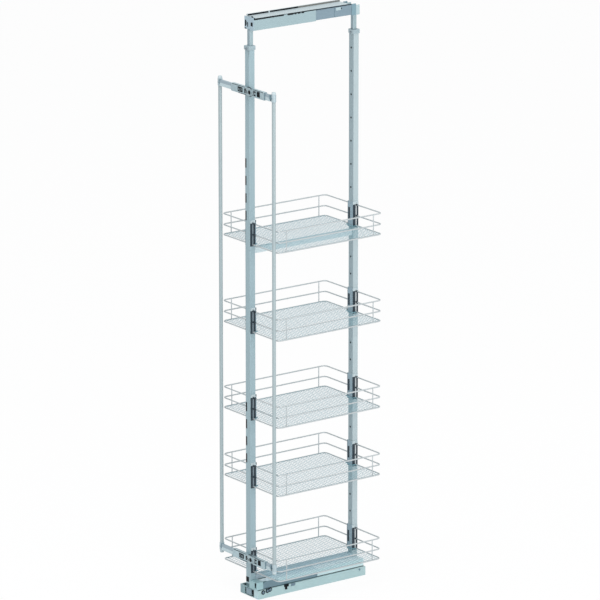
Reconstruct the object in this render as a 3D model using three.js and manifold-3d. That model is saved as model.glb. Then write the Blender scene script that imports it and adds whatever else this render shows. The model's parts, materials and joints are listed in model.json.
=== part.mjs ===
// A tall pull-out larder unit for a kitchen cabinet: a narrow frame of two columns that carries five
// wire baskets and slides out of the cabinet on a floor runner and a top runner, with a bracket in
// front for the cabinet door. Millimetres, +Z up, +X to the right of someone facing the door, -Y
// towards that person. The origin is on the cabinet floor, under the middle of the frame.
import * as THREE from "three";
import { mergeVertices } from "three/addons/utils/BufferGeometryUtils.js";
import Module from "manifold-3d";

const wasm = await Module();
wasm.setup();

// ---------------------------------------------------------------------------------------------
// Driving dimensions
// ---------------------------------------------------------------------------------------------

// Clearances
const seatGap = 0.3; // between two pieces that rest on or against each other
const runningGap = 0.3; // between a roller or slide and what it runs on
const sideGap = 1; // beside a rail that slides inside another

// Frame
const frameDepth = 499; // from the front of the front column to the back of the rear column
const columnWidth = 27;
const columnDepth = 25;
const columnWall = 1.5;
const columnTop = 2100;
const frontColumnBottom = 50;
const columnWindowWidth = 16; // the opening at the foot of the front column
const columnWindowBottom = 56;
const columnWindowHeight = 19;
const crossBeamWidth = 20;
const crossBeamHeight = 22;
const crossBeamBottom = 1324;
const bottomBeamWidth = 25;
const bottomBeamHeight = 16;
const beamWall = 1.5;

// Punched holes of the columns
const holeRadius = 2.5;
const holePitch = 66; // above the baskets
const upperHolePitch = 88.4; // above the top basket
const upperHoleCount = 7;
const slotLength = 35;
const slotWidth = 5;
const slotPitch = 66;
const slotsInGroup = 4;
const slotOffset = 10; // from the middle of the column's face
const slotGroupBottoms = [521, 1450];

// Baskets
const rimHeights = [1440, 1107, 774, 511, 180]; // the top wire of each basket
const holesAboveBasket = [0, 2, 2, 1, 2];
const basketWidth = 350; // between the middles of the side wires
const basketCornerRadius = 15;
const midWireDrop = 42;
const floorDrop = 80;
const wireDiameter = 5;
const postDiameter = 4;
const postInset = 38; // from the end wires
const leftRearPostShift = 6; // the left rear post stands this much further back
const floorThickness = 2;
const floorGapsAcross = 5;
const floorGapsAlong = 7;
const floorRib = 5; // between two gaps of the floor
const floorMargin = 12; // round the field of gaps
const hangerWidth = 6;
const hangerThickness = 1.5;
const hangerRise = 4; // above the middle of the top wire

// Carriers, the clips that hold a basket on a column
const carrierHeight = 98;
const carrierRise = 12; // above the middle of the top wire
const carrierBack = 1.8; // the wall along the column's inner face
const carrierWing = 3.2; // the walls beside the column
const carrierWingSetback = 2.5; // from the column's outer face
const grooveDepth = 2.1;
const grooveFloor = 2.5;
const lugWidth = 6;
const lugHeight = 10;
const lugDrop = 30; // from the middle of the top wire to the top of the lug
const lugReach = 0.5; // past the column's wall

// Floor pan
const panLength = 500;
const panWidth = 114;
const panHeight = 34;
const panSheet = 2;
const panLip = 7;
const panLipThickness = 1.2;
const panSetback = 4.5; // behind the front of the frame
const panMouth = 58; // between the flanges at its front
const fixedRailWidth = 14; // the rail in the middle of the pan
const fixedRailHeight = 25;
const discRadius = 7.5;
const discThickness = 1.5;
const discPlaces = [
  // from the pan's front, and over the floor
  [21.5, 25],
  [43, 28.5],
  [54, 29.5],
];
const boltRadius = 4;
const boltHeight = 26;
const boltFromFront = 132;
const boltFromRear = 29;

// Middle rail of the floor runner
const middleSetback = 5; // behind the pan's front
const middleSheet = 2;
const middleBottom = 7;
const middleTop = 30;
const middleStopGap = 1; // in front of the pan's rear end
const middleCapLength = 8;

// Runner, the outer rail that moves with the frame
const runnerSheet = 2;
const runnerBottom = 8;
const runnerTop = 35;
const runnerFrontSetback = 6.5; // behind the front of the frame
const runnerRearSetback = 9.5; // in front of the rear of the frame
const riserWidth = 24; // the box between the runner and the carriage

// Carriage
const carriageWidth = 104;
const carriageGap = 2.5; // behind the front column
const carriageTop = 66;
const carriageSheet = 2;
const carriageSkirtClearance = 3; // over the pan's lips

// Plates on the carriage
const frontPlateSheet = 2;
const frontPlateLeft = 9;
const frontPlateSlotWidth = 4;
const frontPlateSlotHeight = 20;
const frontPlateSlotPlace = 39;
const sidePlateSheet = 2;
const sidePlateLength = 253;
const sidePlateShoulder = 57; // length of the tall part
const sidePlateSlope = 30;
const sidePlateHeight = 27;
const sidePlateTailHeight = 11;

// Rollers
const rollerRadius = 6;
const rollerWidth = 5;
const rollerPinRadius = 2;
const rollerSideGap = 0.5; // between a roller and the walls beside it
const rollerInset = 15; // from the end of the rail that carries it
const panRollerInset = 40; // from the pan's front

// Collars and tubes at the top of the columns
const collarWall = 2;
const collarSkirt = 10; // over the column
const collarCap = 5; // over the column's end
const tubeSize = 16;
const tubeWall = 1.5;
const tubeInset = 2; // from the middle of the column towards the middle of the frame
const tubeDepthInColumn = 240;
const clampShankRadius = 2.5;
const clampHeadRadius = 4;
const clampHeadLength = 3;

// Top runner
const tubeShow = 58.7; // of the tubes, between the collars and the channel
const topChannelWidth = 56;
const topChannelHeight = 43;
const topChannelSheet = 2;
const topChannelSetback = 11; // behind the front of the frame
const topChannelLength = 280.5;
const topFrontPlateSheet = 1.7;
const topFrontPlateHeight = 48;
const topFrontHoleWidth = 9;
const topFrontHoleHeight = 15;
const topExtensionSheet = 2;
const topExtensionDrop = 2; // below the channel's upper edge
const topExtensionLap = 50; // inside the channel
const topExtensionShow = 164; // behind the channel
const topBlockLength = 18.7;
const topBlockWall = 4;
const topEndLength = 16.7;
const topEndDrop = 6; // the end cap is lower than the block
const topMiddleSheet = 2;
const topMiddleClearance = 6; // over the extension's floor
const topMiddleHeight = 29;
const topMiddleLip = 11;
const topMiddleSetback = 13.5; // behind the front of the channel
const topMiddleRearGap = 11; // in front of the extension's rear end
const topRailSetback = 7.5; // behind the front of the channel
const topRailRearGap = 18; // in front of the extension's rear end
const topRailSheet = 2;
const topRailClearance = 2; // over the channel's upper edge
const topRailWeb = 3;
const topRailHead = 40; // the flange that the middle rail hangs on
const topRailHeadThickness = 2;
const topRailRibWidth = 6;
const topRailRibHeight = 6;
const topRailBreakPlace = 101; // from the rail's front
const topRailBreakWidth = 3;

// Door bracket
const rodRadius = 7;
const rodSpacing = 334; // between the two rods
const rodSetback = 1.5; // in front of the column's face
const rodReachDown = 25; // past the middle of the lower bar
const rodReachUp = 18; // past the middle of the upper bar
const barHeight = 24;
const barDepth = 9;
const barWall = 2;
const upperBarHeight = 1941; // the middle of the bar
const lowerBarHeight = 155;
const sleeveLeft = -80;
const sleeveRight = 125;
const sleeveSheet = 2;
const sleeveGap = 0.6; // round the bar
const sleeveWindows = [
  [-39, -12],
  [52, 72],
  [79, 96],
];
const sleeveWindowHeight = 18;
const adjusterPlace = 31;
const adjusterRadius = 16;
const adjusterThickness = 4;
const adjusterShankRadius = 4;
const endBlockRadius = 9;
const endBlockHeight = 28;
const endCapRadius = 8;
const endCapHeight = 9;

// ---------------------------------------------------------------------------------------------
// Derived places
// ---------------------------------------------------------------------------------------------

const frameFront = -frameDepth / 2;
const columnMiddle = (frameDepth - columnDepth) / 2; // distance of each column from the middle
const columnInner = frameDepth / 2 - columnDepth; // the columns' inner faces
const tubeMiddle = columnMiddle - tubeInset;
const basketLength = 2 * columnMiddle; // between the middles of the end wires

const panFront = frameFront + panSetback;
const panRear = panFront + panLength;
const panInner = panWidth / 2 - panSheet;
const rollerRoom = rollerWidth + 2 * rollerSideGap;

const fixedRailOuter = fixedRailWidth / 2;
const middleInner = fixedRailOuter + rollerRoom;
const middleOuter = middleInner + middleSheet;
const middleRear = panRear - panSheet - middleStopGap;
const middleFront = panFront + middleSetback;
const runnerInner = middleOuter + rollerRoom;
const runnerOuter = runnerInner + runnerSheet;
const runnerFront = frameFront + runnerFrontSetback;
const runnerRear = -frameFront - runnerRearSetback;

const carriageBottom = panHeight + carriageSkirtClearance;
const carriageFront = carriageGap - columnInner;
const columnBottom = carriageTop + seatGap;

const innerRollerPlace = (fixedRailOuter + middleInner) / 2;
const outerRollerPlace = (middleOuter + runnerInner) / 2;

const collarTop = columnTop + seatGap + collarCap;
const topBottom = collarTop + tubeShow;
const topChannelFront = frameFront + topChannelSetback;
const topChannelRear = topChannelFront + topChannelLength;
const topExtensionRear = topChannelRear + topExtensionShow;
const topBlockRear = topExtensionRear + seatGap + topBlockLength;
const topEndRear = topBlockRear + seatGap + topEndLength;
const topEdge = topBottom + topChannelHeight;
const topExtensionOuter = topChannelWidth / 2 - topChannelSheet - seatGap;
const topExtensionBottom = topBottom + topChannelSheet + seatGap;
const topMiddleOuter = topExtensionOuter - topExtensionSheet - runningGap;
const topMiddleBottom = topExtensionBottom + topExtensionSheet + topMiddleClearance - topExtensionDrop;
const topMiddleTop = topMiddleBottom + topMiddleHeight;
const topRailBottom = topEdge + topRailClearance;
const topRailTop = topRailBottom + topRailSheet;

const sleeveBack = frameFront - seatGap;
const barBack = sleeveBack - sleeveSheet - sleeveGap;
const barFront = barBack - barDepth;
const sleeveFront = barFront - sleeveGap - sleeveSheet;
const rodMiddle = frameFront - rodSetback;
const rodTop = upperBarHeight + rodReachUp;
const rodBottom = lowerBarHeight - rodReachDown;

// ---------------------------------------------------------------------------------------------
// Making solids
// ---------------------------------------------------------------------------------------------

// A closed geometry as a solid that can be joined and cut.
function solid(geometry) {
  const bare = geometry.index ? geometry.toNonIndexed() : geometry.clone();
  bare.deleteAttribute("normal");
  bare.deleteAttribute("uv");
  const merged = mergeVertices(bare, 1e-3);
  const vertProperties = merged.getAttribute("position").array;
  const triVerts = new Uint32Array(merged.index.array);
  return new wasm.Manifold(new wasm.Mesh({ numProp: 3, vertProperties, triVerts }));
}

function join(solids) {
  return solids.reduce((all, next) => all.add(next));
}

function cut(from, solids) {
  return solids.reduce((rest, next) => rest.subtract(next), from);
}

// A block between two limits along each axis.
function block([x0, x1], [y0, y1], [z0, z1]) {
  const geometry = new THREE.BoxGeometry(x1 - x0, y1 - y0, z1 - z0);
  geometry.translate((x0 + x1) / 2, (y0 + y1) / 2, (z0 + z1) / 2);
  return solid(geometry);
}

function shapeOf(points, holes = []) {
  const shape = new THREE.Shape(points.map(([a, b]) => new THREE.Vector2(a, b)));
  shape.holes = holes.map((hole) => new THREE.Path(hole.map(([a, b]) => new THREE.Vector2(a, b))));
  return shape;
}

function extruded(shape, length) {
  return new THREE.ExtrudeGeometry(shape, { depth: length, bevelEnabled: false, curveSegments: 8 });
}

// An (x, y) outline drawn up from z0 to z1.
function prismAlongZ(points, [z0, z1], holes) {
  const geometry = extruded(shapeOf(points, holes), z1 - z0);
  geometry.translate(0, 0, z0);
  return solid(geometry);
}

// An (x, z) outline drawn back from y0 to y1.
function prismAlongY(points, [y0, y1], holes) {
  const geometry = extruded(shapeOf(points, holes), y1 - y0);
  geometry.rotateX(Math.PI / 2);
  geometry.translate(0, y1, 0);
  return solid(geometry);
}

// A (y, z) outline drawn sideways from x0 to x1.
function prismAlongX(points, [x0, x1], holes) {
  const geometry = extruded(shapeOf(points, holes), x1 - x0);
  const turn = new THREE.Matrix4().makeBasis(
    new THREE.Vector3(0, 1, 0),
    new THREE.Vector3(0, 0, 1),
    new THREE.Vector3(1, 0, 0),
  );
  geometry.applyMatrix4(turn);
  geometry.translate(x0, 0, 0);
  return solid(geometry);
}

function rectangle([a0, a1], [b0, b1]) {
  return [
    [a0, b0],
    [a1, b0],
    [a1, b1],
    [a0, b1],
  ];
}

// The outline of a profile that is the same on both sides, from the points of its right half.
function mirrored(half) {
  const left = half.map(([a, b]) => [-a, b]).reverse();
  return [...half, ...left];
}

const cylinderTurns = {
  x: (geometry) => geometry.rotateZ(Math.PI / 2),
  y: (geometry) => geometry,
  z: (geometry) => geometry.rotateX(Math.PI / 2),
};

// A cylinder along an axis, round a middle point.
function cylinder(axis, radius, length, [x, y, z], sides = 12) {
  const geometry = cylinderTurns[axis](new THREE.CylinderGeometry(radius, radius, length, sides));
  geometry.translate(x, y, z);
  return solid(geometry);
}

// A route through listed points, which a wire follows exactly.
class WireRoute extends THREE.Curve {
  constructor(points) {
    super();
    this.points = points;
  }
  getPointAt(share) {
    return this.points[Math.round(share * (this.points.length - 1))].clone();
  }
  getTangentAt(share) {
    const last = this.points.length - 1;
    const place = Math.round(share * last);
    const before = this.points[Math.max(place - 1, 0)];
    const after = this.points[Math.min(place + 1, last)];
    return after.clone().sub(before).normalize();
  }
}

function roundSection(radius, sides) {
  const corners = Array.from({ length: sides }, (_, corner) => (2 * Math.PI * corner) / sides);
  return shapeOf(corners.map((angle) => [radius * Math.cos(angle), radius * Math.sin(angle)]));
}

// A round wire along a level route of (x, y) points at one height.
function wire(route, height, diameter) {
  const points = route.map(([x, y]) => new THREE.Vector3(x, y, height));
  const geometry = new THREE.ExtrudeGeometry(roundSection(diameter / 2, 6), {
    steps: points.length - 1,
    extrudePath: new WireRoute(points),
  });
  return solid(geometry);
}

// ---------------------------------------------------------------------------------------------
// Materials and pieces
// ---------------------------------------------------------------------------------------------

const finishes = {
  coatedSteel: { color: 0x9fb3bb, roughness: 0.42, metalness: 0.35 },
  lightSteel: { color: 0xb3c8cd, roughness: 0.4, metalness: 0.35 },
  darkSteel: { color: 0x8397a3, roughness: 0.45, metalness: 0.35 },
  zincSteel: { color: 0xa9bec6, roughness: 0.35, metalness: 0.6 },
  basketWire: { color: 0xc3c8ca, roughness: 0.35, metalness: 0.45 },
  carrierPlastic: { color: 0x5f7481, roughness: 0.55, metalness: 0 },
  blackPlastic: { color: 0x23282b, roughness: 0.55, metalness: 0 },
  rubber: { color: 0x1b1d1e, roughness: 0.8, metalness: 0 },
};

// A named piece of the unit, from a solid made in the frame of the group that it joins.
function piece(name, made, finish, place = [0, 0, 0]) {
  const { vertProperties, triVerts } = made.getMesh();
  const geometry = new THREE.BufferGeometry();
  geometry.setAttribute("position", new THREE.BufferAttribute(vertProperties, 3));
  geometry.setIndex(new THREE.BufferAttribute(triVerts, 1));
  geometry.computeVertexNormals();
  const mesh = new THREE.Mesh(geometry, new THREE.MeshStandardMaterial(finishes[finish]));
  mesh.name = name;
  mesh.position.set(...place);
  return mesh;
}

function groupOf(pieces) {
  const group = new THREE.Group();
  group.add(...pieces);
  return group;
}

const sides = { left: -1, right: 1 };

// ---------------------------------------------------------------------------------------------
// Rollers: plain wheels on pins that are riveted to the rails
// ---------------------------------------------------------------------------------------------

function rollerSolid() {
  const wheel = cylinder("x", rollerRadius, rollerWidth, [0, 0, 0], 14);
  const bore = cylinder("x", rollerPinRadius + seatGap, 2 * rollerWidth, [0, 0, 0], 14);
  return wheel.subtract(bore);
}

// A pin from a wall's face to just past its roller. It starts inside the wall.
function rollerPin(side, wallFace, wallSheet, rollerPlace, y, z) {
  const towards = Math.sign(rollerPlace - wallFace);
  const start = wallFace - (towards * wallSheet) / 2;
  const end = rollerPlace + towards * (rollerWidth / 2 + seatGap);
  const middle = (side * (start + end)) / 2;
  return cylinder("x", rollerPinRadius, Math.abs(end - start), [middle, y, z], 10);
}

const panRollerPlace = panFront + panRollerInset;
const panRollerHeight = middleTop - middleSheet - runningGap - rollerRadius;
const middleRearRollerHeight = panSheet + runningGap + rollerRadius;
const middleFrontRollerHeight = runnerTop - runnerSheet - runningGap - rollerRadius;
const runnerRollerHeight = middleBottom + middleSheet + runningGap + rollerRadius;
const middleRearRollerPlace = middleRear - rollerInset;
const middleFrontRollerPlace = middleFront + rollerInset;
const runnerRollerPlace = runnerRear - rollerInset;

function rollerPair(name, x, y, z) {
  return Object.entries(sides).map(([side, sign]) =>
    piece(`${name}_${side}`, rollerSolid(), "blackPlastic", [sign * x, y, z]),
  );
}

// ---------------------------------------------------------------------------------------------
// Floor pan: the channel that is screwed to the cabinet floor, with the fixed rail in its middle
// ---------------------------------------------------------------------------------------------

function floorPan() {
  const channel = prismAlongY(
    mirrored([
      [panInner, panSheet],
      [panInner, panHeight - panLipThickness],
      [panWidth / 2 - panLip, panHeight - panLipThickness],
      [panWidth / 2 - panLip, panHeight],
      [panWidth / 2, panHeight],
      [panWidth / 2, 0],
    ]),
    [panFront, panRear],
  );
  const wallMiddle = panInner + panSheet / 2;
  const endPlate = block(
    [-wallMiddle, wallMiddle],
    [panRear - panSheet, panRear],
    [panSheet / 2, panHeight],
  );
  const fittings = Object.values(sides).flatMap((sign) => {
    const flange = [panMouth / 2, wallMiddle].map((x) => sign * x).sort((a, b) => a - b);
    const rail = [fixedRailOuter - panSheet, fixedRailOuter]
      .map((x) => sign * x)
      .sort((a, b) => a - b);
    return [
      block(flange, [panFront, panFront + panSheet], [panSheet / 2, panHeight]),
      block(rail, [middleFront, panRear - panSheet / 2], [panSheet / 2, fixedRailHeight]),
      rollerPin(
        sign,
        fixedRailOuter,
        panSheet,
        innerRollerPlace,
        panRollerPlace,
        panRollerHeight,
      ),
      ...discPlaces.map(([inset, z]) => wallDisc(sign, discRadius, panFront + inset, z)),
      wallDisc(sign, boltRadius, panFront + boltFromFront, boltHeight),
      wallDisc(sign, boltRadius, panRear - boltFromRear, boltHeight),
    ];
  });
  return join([channel, endPlate, ...fittings]);
}

// A flat disc on the outside of the pan's wall. It starts inside the wall.
function wallDisc(sign, radius, y, z) {
  const start = panWidth / 2 - panSheet / 2;
  const end = panWidth / 2 + discThickness;
  return cylinder("x", radius, end - start, [(sign * (start + end)) / 2, y, z], 14);
}

function floorAssembly() {
  return groupOf([
    piece("floor_pan", floorPan(), "lightSteel"),
    ...rollerPair("pan_roller", innerRollerPlace, panRollerPlace, panRollerHeight),
  ]);
}

// ---------------------------------------------------------------------------------------------
// Middle rail: runs over the fixed rail, out half as far as the frame
// ---------------------------------------------------------------------------------------------

function middleRail() {
  const channel = prismAlongY(
    mirrored([
      [middleInner, middleTop - middleSheet],
      [middleInner, middleBottom],
      [runnerInner - sideGap, middleBottom],
      [runnerInner - sideGap, middleBottom + middleSheet],
      [middleOuter, middleBottom + middleSheet],
      [middleOuter, middleTop],
    ]),
    [middleFront, middleRear],
  );
  const pins = Object.values(sides).flatMap((sign) => [
    rollerPin(
      sign,
      middleInner,
      middleSheet,
      innerRollerPlace,
      middleRearRollerPlace,
      middleRearRollerHeight,
    ),
    rollerPin(
      sign,
      middleOuter,
      middleSheet,
      outerRollerPlace,
      middleFrontRollerPlace,
      middleFrontRollerHeight,
    ),
  ]);
  return join([channel, ...pins]);
}

function middleAssembly() {
  const cap = block(
    [-middleOuter, middleOuter],
    [middleFront - seatGap - middleCapLength, middleFront - seatGap],
    [middleBottom, middleTop],
  );
  return groupOf([
    piece("middle_rail", middleRail(), "zincSteel"),
    piece("middle_rail_cap", cap, "darkSteel"),
    ...rollerPair(
      "middle_rear_roller",
      innerRollerPlace,
      middleRearRollerPlace,
      middleRearRollerHeight,
    ),
    ...rollerPair(
      "middle_front_roller",
      outerRollerPlace,
      middleFrontRollerPlace,
      middleFrontRollerHeight,
    ),
  ]);
}

// ---------------------------------------------------------------------------------------------
// Runner and carriage: carry the frame over the middle rail
// ---------------------------------------------------------------------------------------------

function runner() {
  const rail = prismAlongY(
    mirrored([
      [runnerInner, runnerTop - runnerSheet],
      [runnerInner, runnerBottom],
      [runnerOuter, runnerBottom],
      [runnerOuter, runnerTop],
    ]),
    [runnerFront, runnerRear],
  );
  const reach = riserWidth / 2;
  const inside = reach - runnerSheet;
  const riserTop = carriageTop - carriageSheet - seatGap;
  const riser = prismAlongY(
    rectangle([-reach, reach], [runnerTop - runnerSheet / 2, riserTop]),
    [carriageFront, runnerRear],
    [rectangle([-inside, inside], [runnerTop + runnerSheet / 2, riserTop - runnerSheet])],
  );
  const pins = Object.values(sides).map((sign) =>
    rollerPin(
      sign,
      runnerInner,
      runnerSheet,
      outerRollerPlace,
      runnerRollerPlace,
      runnerRollerHeight,
    ),
  );
  return join([rail, riser, ...pins]);
}

function carriageShell() {
  const outer = carriageWidth / 2;
  const inner = outer - carriageSheet;
  return prismAlongY(
    mirrored([
      [inner, carriageTop - carriageSheet],
      [inner, carriageBottom],
      [outer, carriageBottom],
      [outer, carriageTop],
    ]),
    [carriageFront, -frameFront],
  );
}

// The cover in front of the carriage's right half: a face in front of the column's foot, a side
// and a top.
function frontPlate() {
  const back = frameFront - seatGap;
  const front = back - frontPlateSheet;
  const right = panWidth / 2;
  const rear = carriageFront - seatGap;
  const walls = prismAlongZ(
    [
      [frontPlateLeft, front],
      [right, front],
      [right, rear],
      [right - frontPlateSheet, rear],
      [right - frontPlateSheet, back],
      [frontPlateLeft, back],
    ],
    [carriageBottom, carriageTop],
  );
  const top = block(
    [columnWidth / 2 + seatGap, right - frontPlateSheet / 2],
    [front + frontPlateSheet / 2, rear],
    [carriageTop - frontPlateSheet, carriageTop],
  );
  const slotMiddle = (carriageBottom + carriageTop) / 2;
  const slot = block(
    [frontPlateSlotPlace - frontPlateSlotWidth / 2, frontPlateSlotPlace + frontPlateSlotWidth / 2],
    [front - 1, back + 1],
    [slotMiddle - frontPlateSlotHeight / 2, slotMiddle + frontPlateSlotHeight / 2],
  );
  return walls.add(top).subtract(slot);
}

// The stiffening plate along the carriage's right side, tall at its front.
function sidePlate() {
  const inner = carriageWidth / 2 + seatGap;
  const rear = carriageFront + sidePlateLength;
  const shoulder = carriageFront + sidePlateShoulder;
  const tailTop = carriageBottom + sidePlateTailHeight;
  const outline = [
    [carriageFront, carriageBottom],
    [rear, carriageBottom],
    [rear, tailTop],
    [shoulder + sidePlateSlope, tailTop],
    [shoulder, carriageBottom + sidePlateHeight],
    [carriageFront, carriageBottom + sidePlateHeight],
  ];
  return prismAlongX(outline, [inner, inner + sidePlateSheet]);
}

function carriageAssembly() {
  return groupOf([
    piece("carriage", carriageShell(), "lightSteel"),
    piece("runner", runner(), "zincSteel"),
    piece("carriage_front_plate", frontPlate(), "lightSteel"),
    piece("carriage_side_plate", sidePlate(), "darkSteel"),
    ...rollerPair("runner_roller", outerRollerPlace, runnerRollerPlace, runnerRollerHeight),
  ]);
}

// ---------------------------------------------------------------------------------------------
// Columns and beams of the frame
// ---------------------------------------------------------------------------------------------

const halfWidth = columnWidth / 2;
const carrierLugRoom = lugWidth / 2 + seatGap;

// A column as the rear one stands, with its inner face towards the front of the unit.
function plainColumn(bottom) {
  const near = columnInner;
  const far = columnInner + columnDepth;
  const tube = prismAlongZ(
    rectangle([-halfWidth, halfWidth], [near, far]),
    [bottom, columnTop],
    [
      rectangle(
        [-halfWidth + columnWall, halfWidth - columnWall],
        [near + columnWall, far - columnWall],
      ),
    ],
  );
  const lugSlots = rimHeights.map((rim) =>
    block(
      [-carrierLugRoom, carrierLugRoom],
      [near - 1, near + columnWall + 1],
      [rim - lugDrop - lugHeight - seatGap, rim - lugDrop + seatGap],
    ),
  );
  return cut(tube, lugSlots);
}

function clampHole(y) {
  const height = columnTop - collarSkirt / 2;
  return cylinder("y", clampShankRadius + seatGap, 4 * columnWall, [0, y, height], 10);
}

function rearColumn() {
  const lower = rimHeights.flatMap((rim, basket) =>
    Array.from({ length: holesAboveBasket[basket] }, (_, hole) => rim + (hole + 1) * holePitch),
  );
  const upper = Array.from(
    { length: upperHoleCount },
    (_, hole) => rimHeights[0] + holePitch + hole * upperHolePitch,
  );
  const holes = [...lower, ...upper].map((height) =>
    cylinder("y", holeRadius, 4 * columnWall, [0, columnInner, height], 8),
  );
  return cut(plainColumn(columnBottom), [...holes, clampHole(columnInner)]);
}

// The front column is turned half round, so its cuts are placed as they lie before the turn.
function frontColumn() {
  const outerFace = columnInner + columnDepth;
  const slots = slotGroupBottoms.flatMap((bottom) =>
    Array.from({ length: slotsInGroup }, (_, slot) =>
      block(
        [slotOffset - slotWidth / 2, slotOffset + slotWidth / 2],
        [outerFace - columnWall - 1, outerFace + 1],
        [bottom + slot * slotPitch, bottom + slot * slotPitch + slotLength],
      ),
    ),
  );
  const window = block(
    [halfWidth - columnWall - columnWindowWidth, halfWidth - columnWall],
    [outerFace - columnWall - 1, outerFace + 1],
    [columnWindowBottom, columnWindowBottom + columnWindowHeight],
  );
  return cut(plainColumn(frontColumnBottom), [...slots, window, clampHole(outerFace)]);
}

// The block under the front column, which rests on the front of the runner.
function columnFoot() {
  return block(
    [-halfWidth, halfWidth],
    [columnInner, columnInner + columnDepth],
    [runnerTop + seatGap, frontColumnBottom - seatGap],
  );
}

// A square tube between the columns' inner faces.
function beam(width, bottom, height) {
  const reach = columnInner - seatGap;
  return prismAlongY(
    rectangle([-width / 2, width / 2], [bottom, bottom + height]),
    [-reach, reach],
    [
      rectangle(
        [-width / 2 + beamWall, width / 2 - beamWall],
        [bottom + beamWall, bottom + height - beamWall],
      ),
    ],
  );
}

// The cap over a column's end, which the telescopic tube slides through.
function collar(clampFace) {
  const inside = seatGap;
  const outside = seatGap + collarWall;
  const near = columnInner;
  const far = columnInner + columnDepth;
  const tubeRoom = tubeSize / 2 + runningGap;
  const shell = block(
    [-halfWidth - outside, halfWidth + outside],
    [near - outside, far + outside],
    [columnTop - collarSkirt, collarTop],
  );
  const pocket = block(
    [-halfWidth - inside, halfWidth + inside],
    [near - inside, far + inside],
    [columnTop - collarSkirt - 1, columnTop + seatGap],
  );
  const bore = block(
    [-tubeRoom, tubeRoom],
    [tubeMiddle - tubeRoom, tubeMiddle + tubeRoom],
    [columnTop - 1, collarTop + 1],
  );
  const screwHole = cylinder(
    "y",
    clampShankRadius + seatGap,
    4 * collarWall,
    [0, clampFace, columnTop - collarSkirt / 2],
    10,
  );
  return cut(shell, [pocket, bore, screwHole]);
}

// A screw through the collar and the column that presses on the telescopic tube. Its head is on
// the side of the collar that faces the front of the unit.
function clampScrew(collarFace, tubeFace, outwards) {
  const height = columnTop - collarSkirt / 2;
  const headStart = collarFace + outwards * seatGap;
  const headEnd = headStart + outwards * clampHeadLength;
  const tip = tubeFace + outwards * seatGap;
  const shank = cylinder(
    "y",
    clampShankRadius,
    Math.abs(headEnd - tip) - clampHeadLength / 2,
    [0, (headEnd - (outwards * clampHeadLength) / 2 + tip) / 2, height],
    10,
  );
  const head = cylinder(
    "y",
    clampHeadRadius,
    clampHeadLength,
    [0, (headStart + headEnd) / 2, height],
    12,
  );
  return head.add(shank);
}

function frameAssembly() {
  const collarOutside = seatGap + collarWall;
  const nearFace = columnInner - collarOutside;
  const farFace = columnInner + columnDepth + collarOutside;
  const front = groupOf([
    piece("front_column", frontColumn(), "coatedSteel"),
    piece("front_column_foot", columnFoot(), "darkSteel"),
    piece("front_collar", collar(farFace), "darkSteel"),
    piece("front_clamp_screw", clampScrew(farFace, tubeMiddle + tubeSize / 2, 1), "zincSteel"),
  ]);
  front.rotation.z = Math.PI;
  const rear = groupOf([
    piece("rear_column", rearColumn(), "coatedSteel"),
    piece("rear_collar", collar(nearFace), "darkSteel"),
    piece("rear_clamp_screw", clampScrew(nearFace, tubeMiddle - tubeSize / 2, -1), "zincSteel"),
  ]);
  const beams = groupOf([
    piece("bottom_beam", beam(bottomBeamWidth, columnBottom, bottomBeamHeight), "darkSteel"),
    piece("cross_beam", beam(crossBeamWidth, crossBeamBottom, crossBeamHeight), "coatedSteel"),
  ]);
  return groupOf([front, rear, beams]);
}

// ---------------------------------------------------------------------------------------------
// Baskets, each in its own frame with the middle of its top wire at height 0
// ---------------------------------------------------------------------------------------------

const hangerInner = halfWidth + seatGap + carrierWing - grooveDepth + seatGap;
const endWireStart = hangerInner + hangerThickness / 2;
const notchWidth = halfWidth + seatGap + carrierWing + 2 * sideGap;
const notchDepth = basketLength / 2 - columnInner + seatGap + carrierBack + 2 * sideGap;

// The corners and bends of the basket's right half, from its front end to its rear end.
function halfRoute(start) {
  const reach = basketLength / 2;
  const side = basketWidth / 2;
  const bend = basketCornerRadius;
  const path = new THREE.Path();
  path.moveTo(start, -reach);
  path.lineTo(side - bend, -reach);
  path.absarc(side - bend, bend - reach, bend, -Math.PI / 2, 0, false);
  path.lineTo(side, reach - bend);
  path.absarc(side - bend, reach - bend, bend, 0, Math.PI / 2, false);
  path.lineTo(start, reach);
  const points = path.getPoints(2).map(({ x, y }) => [x, y]);
  const isNew = ([x, y], index) =>
    index === 0 || Math.hypot(x - points[index - 1][0], y - points[index - 1][1]) > 0.01;
  return points.filter(isNew);
}

// The floor: a plate with rows of gaps, notched at both ends to clear the columns.
function basketFloor() {
  const reach = basketLength / 2;
  const half = [
    [notchWidth, notchDepth - reach],
    ...halfRoute(notchWidth),
    [notchWidth, reach - notchDepth],
  ];
  const fieldX = basketWidth / 2 - floorMargin;
  const fieldY = reach - notchDepth - floorMargin / 2;
  const stepX = (2 * fieldX + floorRib) / floorGapsAcross;
  const stepY = (2 * fieldY + floorRib) / floorGapsAlong;
  const bottom = -floorDrop - floorThickness / 2;
  const top = -floorDrop + floorThickness / 2;
  const gaps = [];
  for (let column = 0; column < floorGapsAcross; column += 1) {
    for (let row = 0; row < floorGapsAlong; row += 1) {
      const x = -fieldX + column * stepX;
      const y = -fieldY + row * stepY;
      gaps.push(block([x, x + stepX - floorRib], [y, y + stepY - floorRib], [bottom - 1, top + 1]));
    }
  }
  return cut(prismAlongZ(mirrored(half), [bottom, top]), gaps);
}

// The strip at the end of a half's wires, which drops into a carrier's groove.
function hanger(sign, end) {
  const y = (end * basketLength) / 2;
  const x = sign * (hangerInner + hangerThickness / 2);
  return block(
    [x - hangerThickness / 2, x + hangerThickness / 2],
    [y - hangerWidth / 2, y + hangerWidth / 2],
    [carrierRise - carrierHeight + grooveFloor + seatGap, hangerRise],
  );
}

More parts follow.
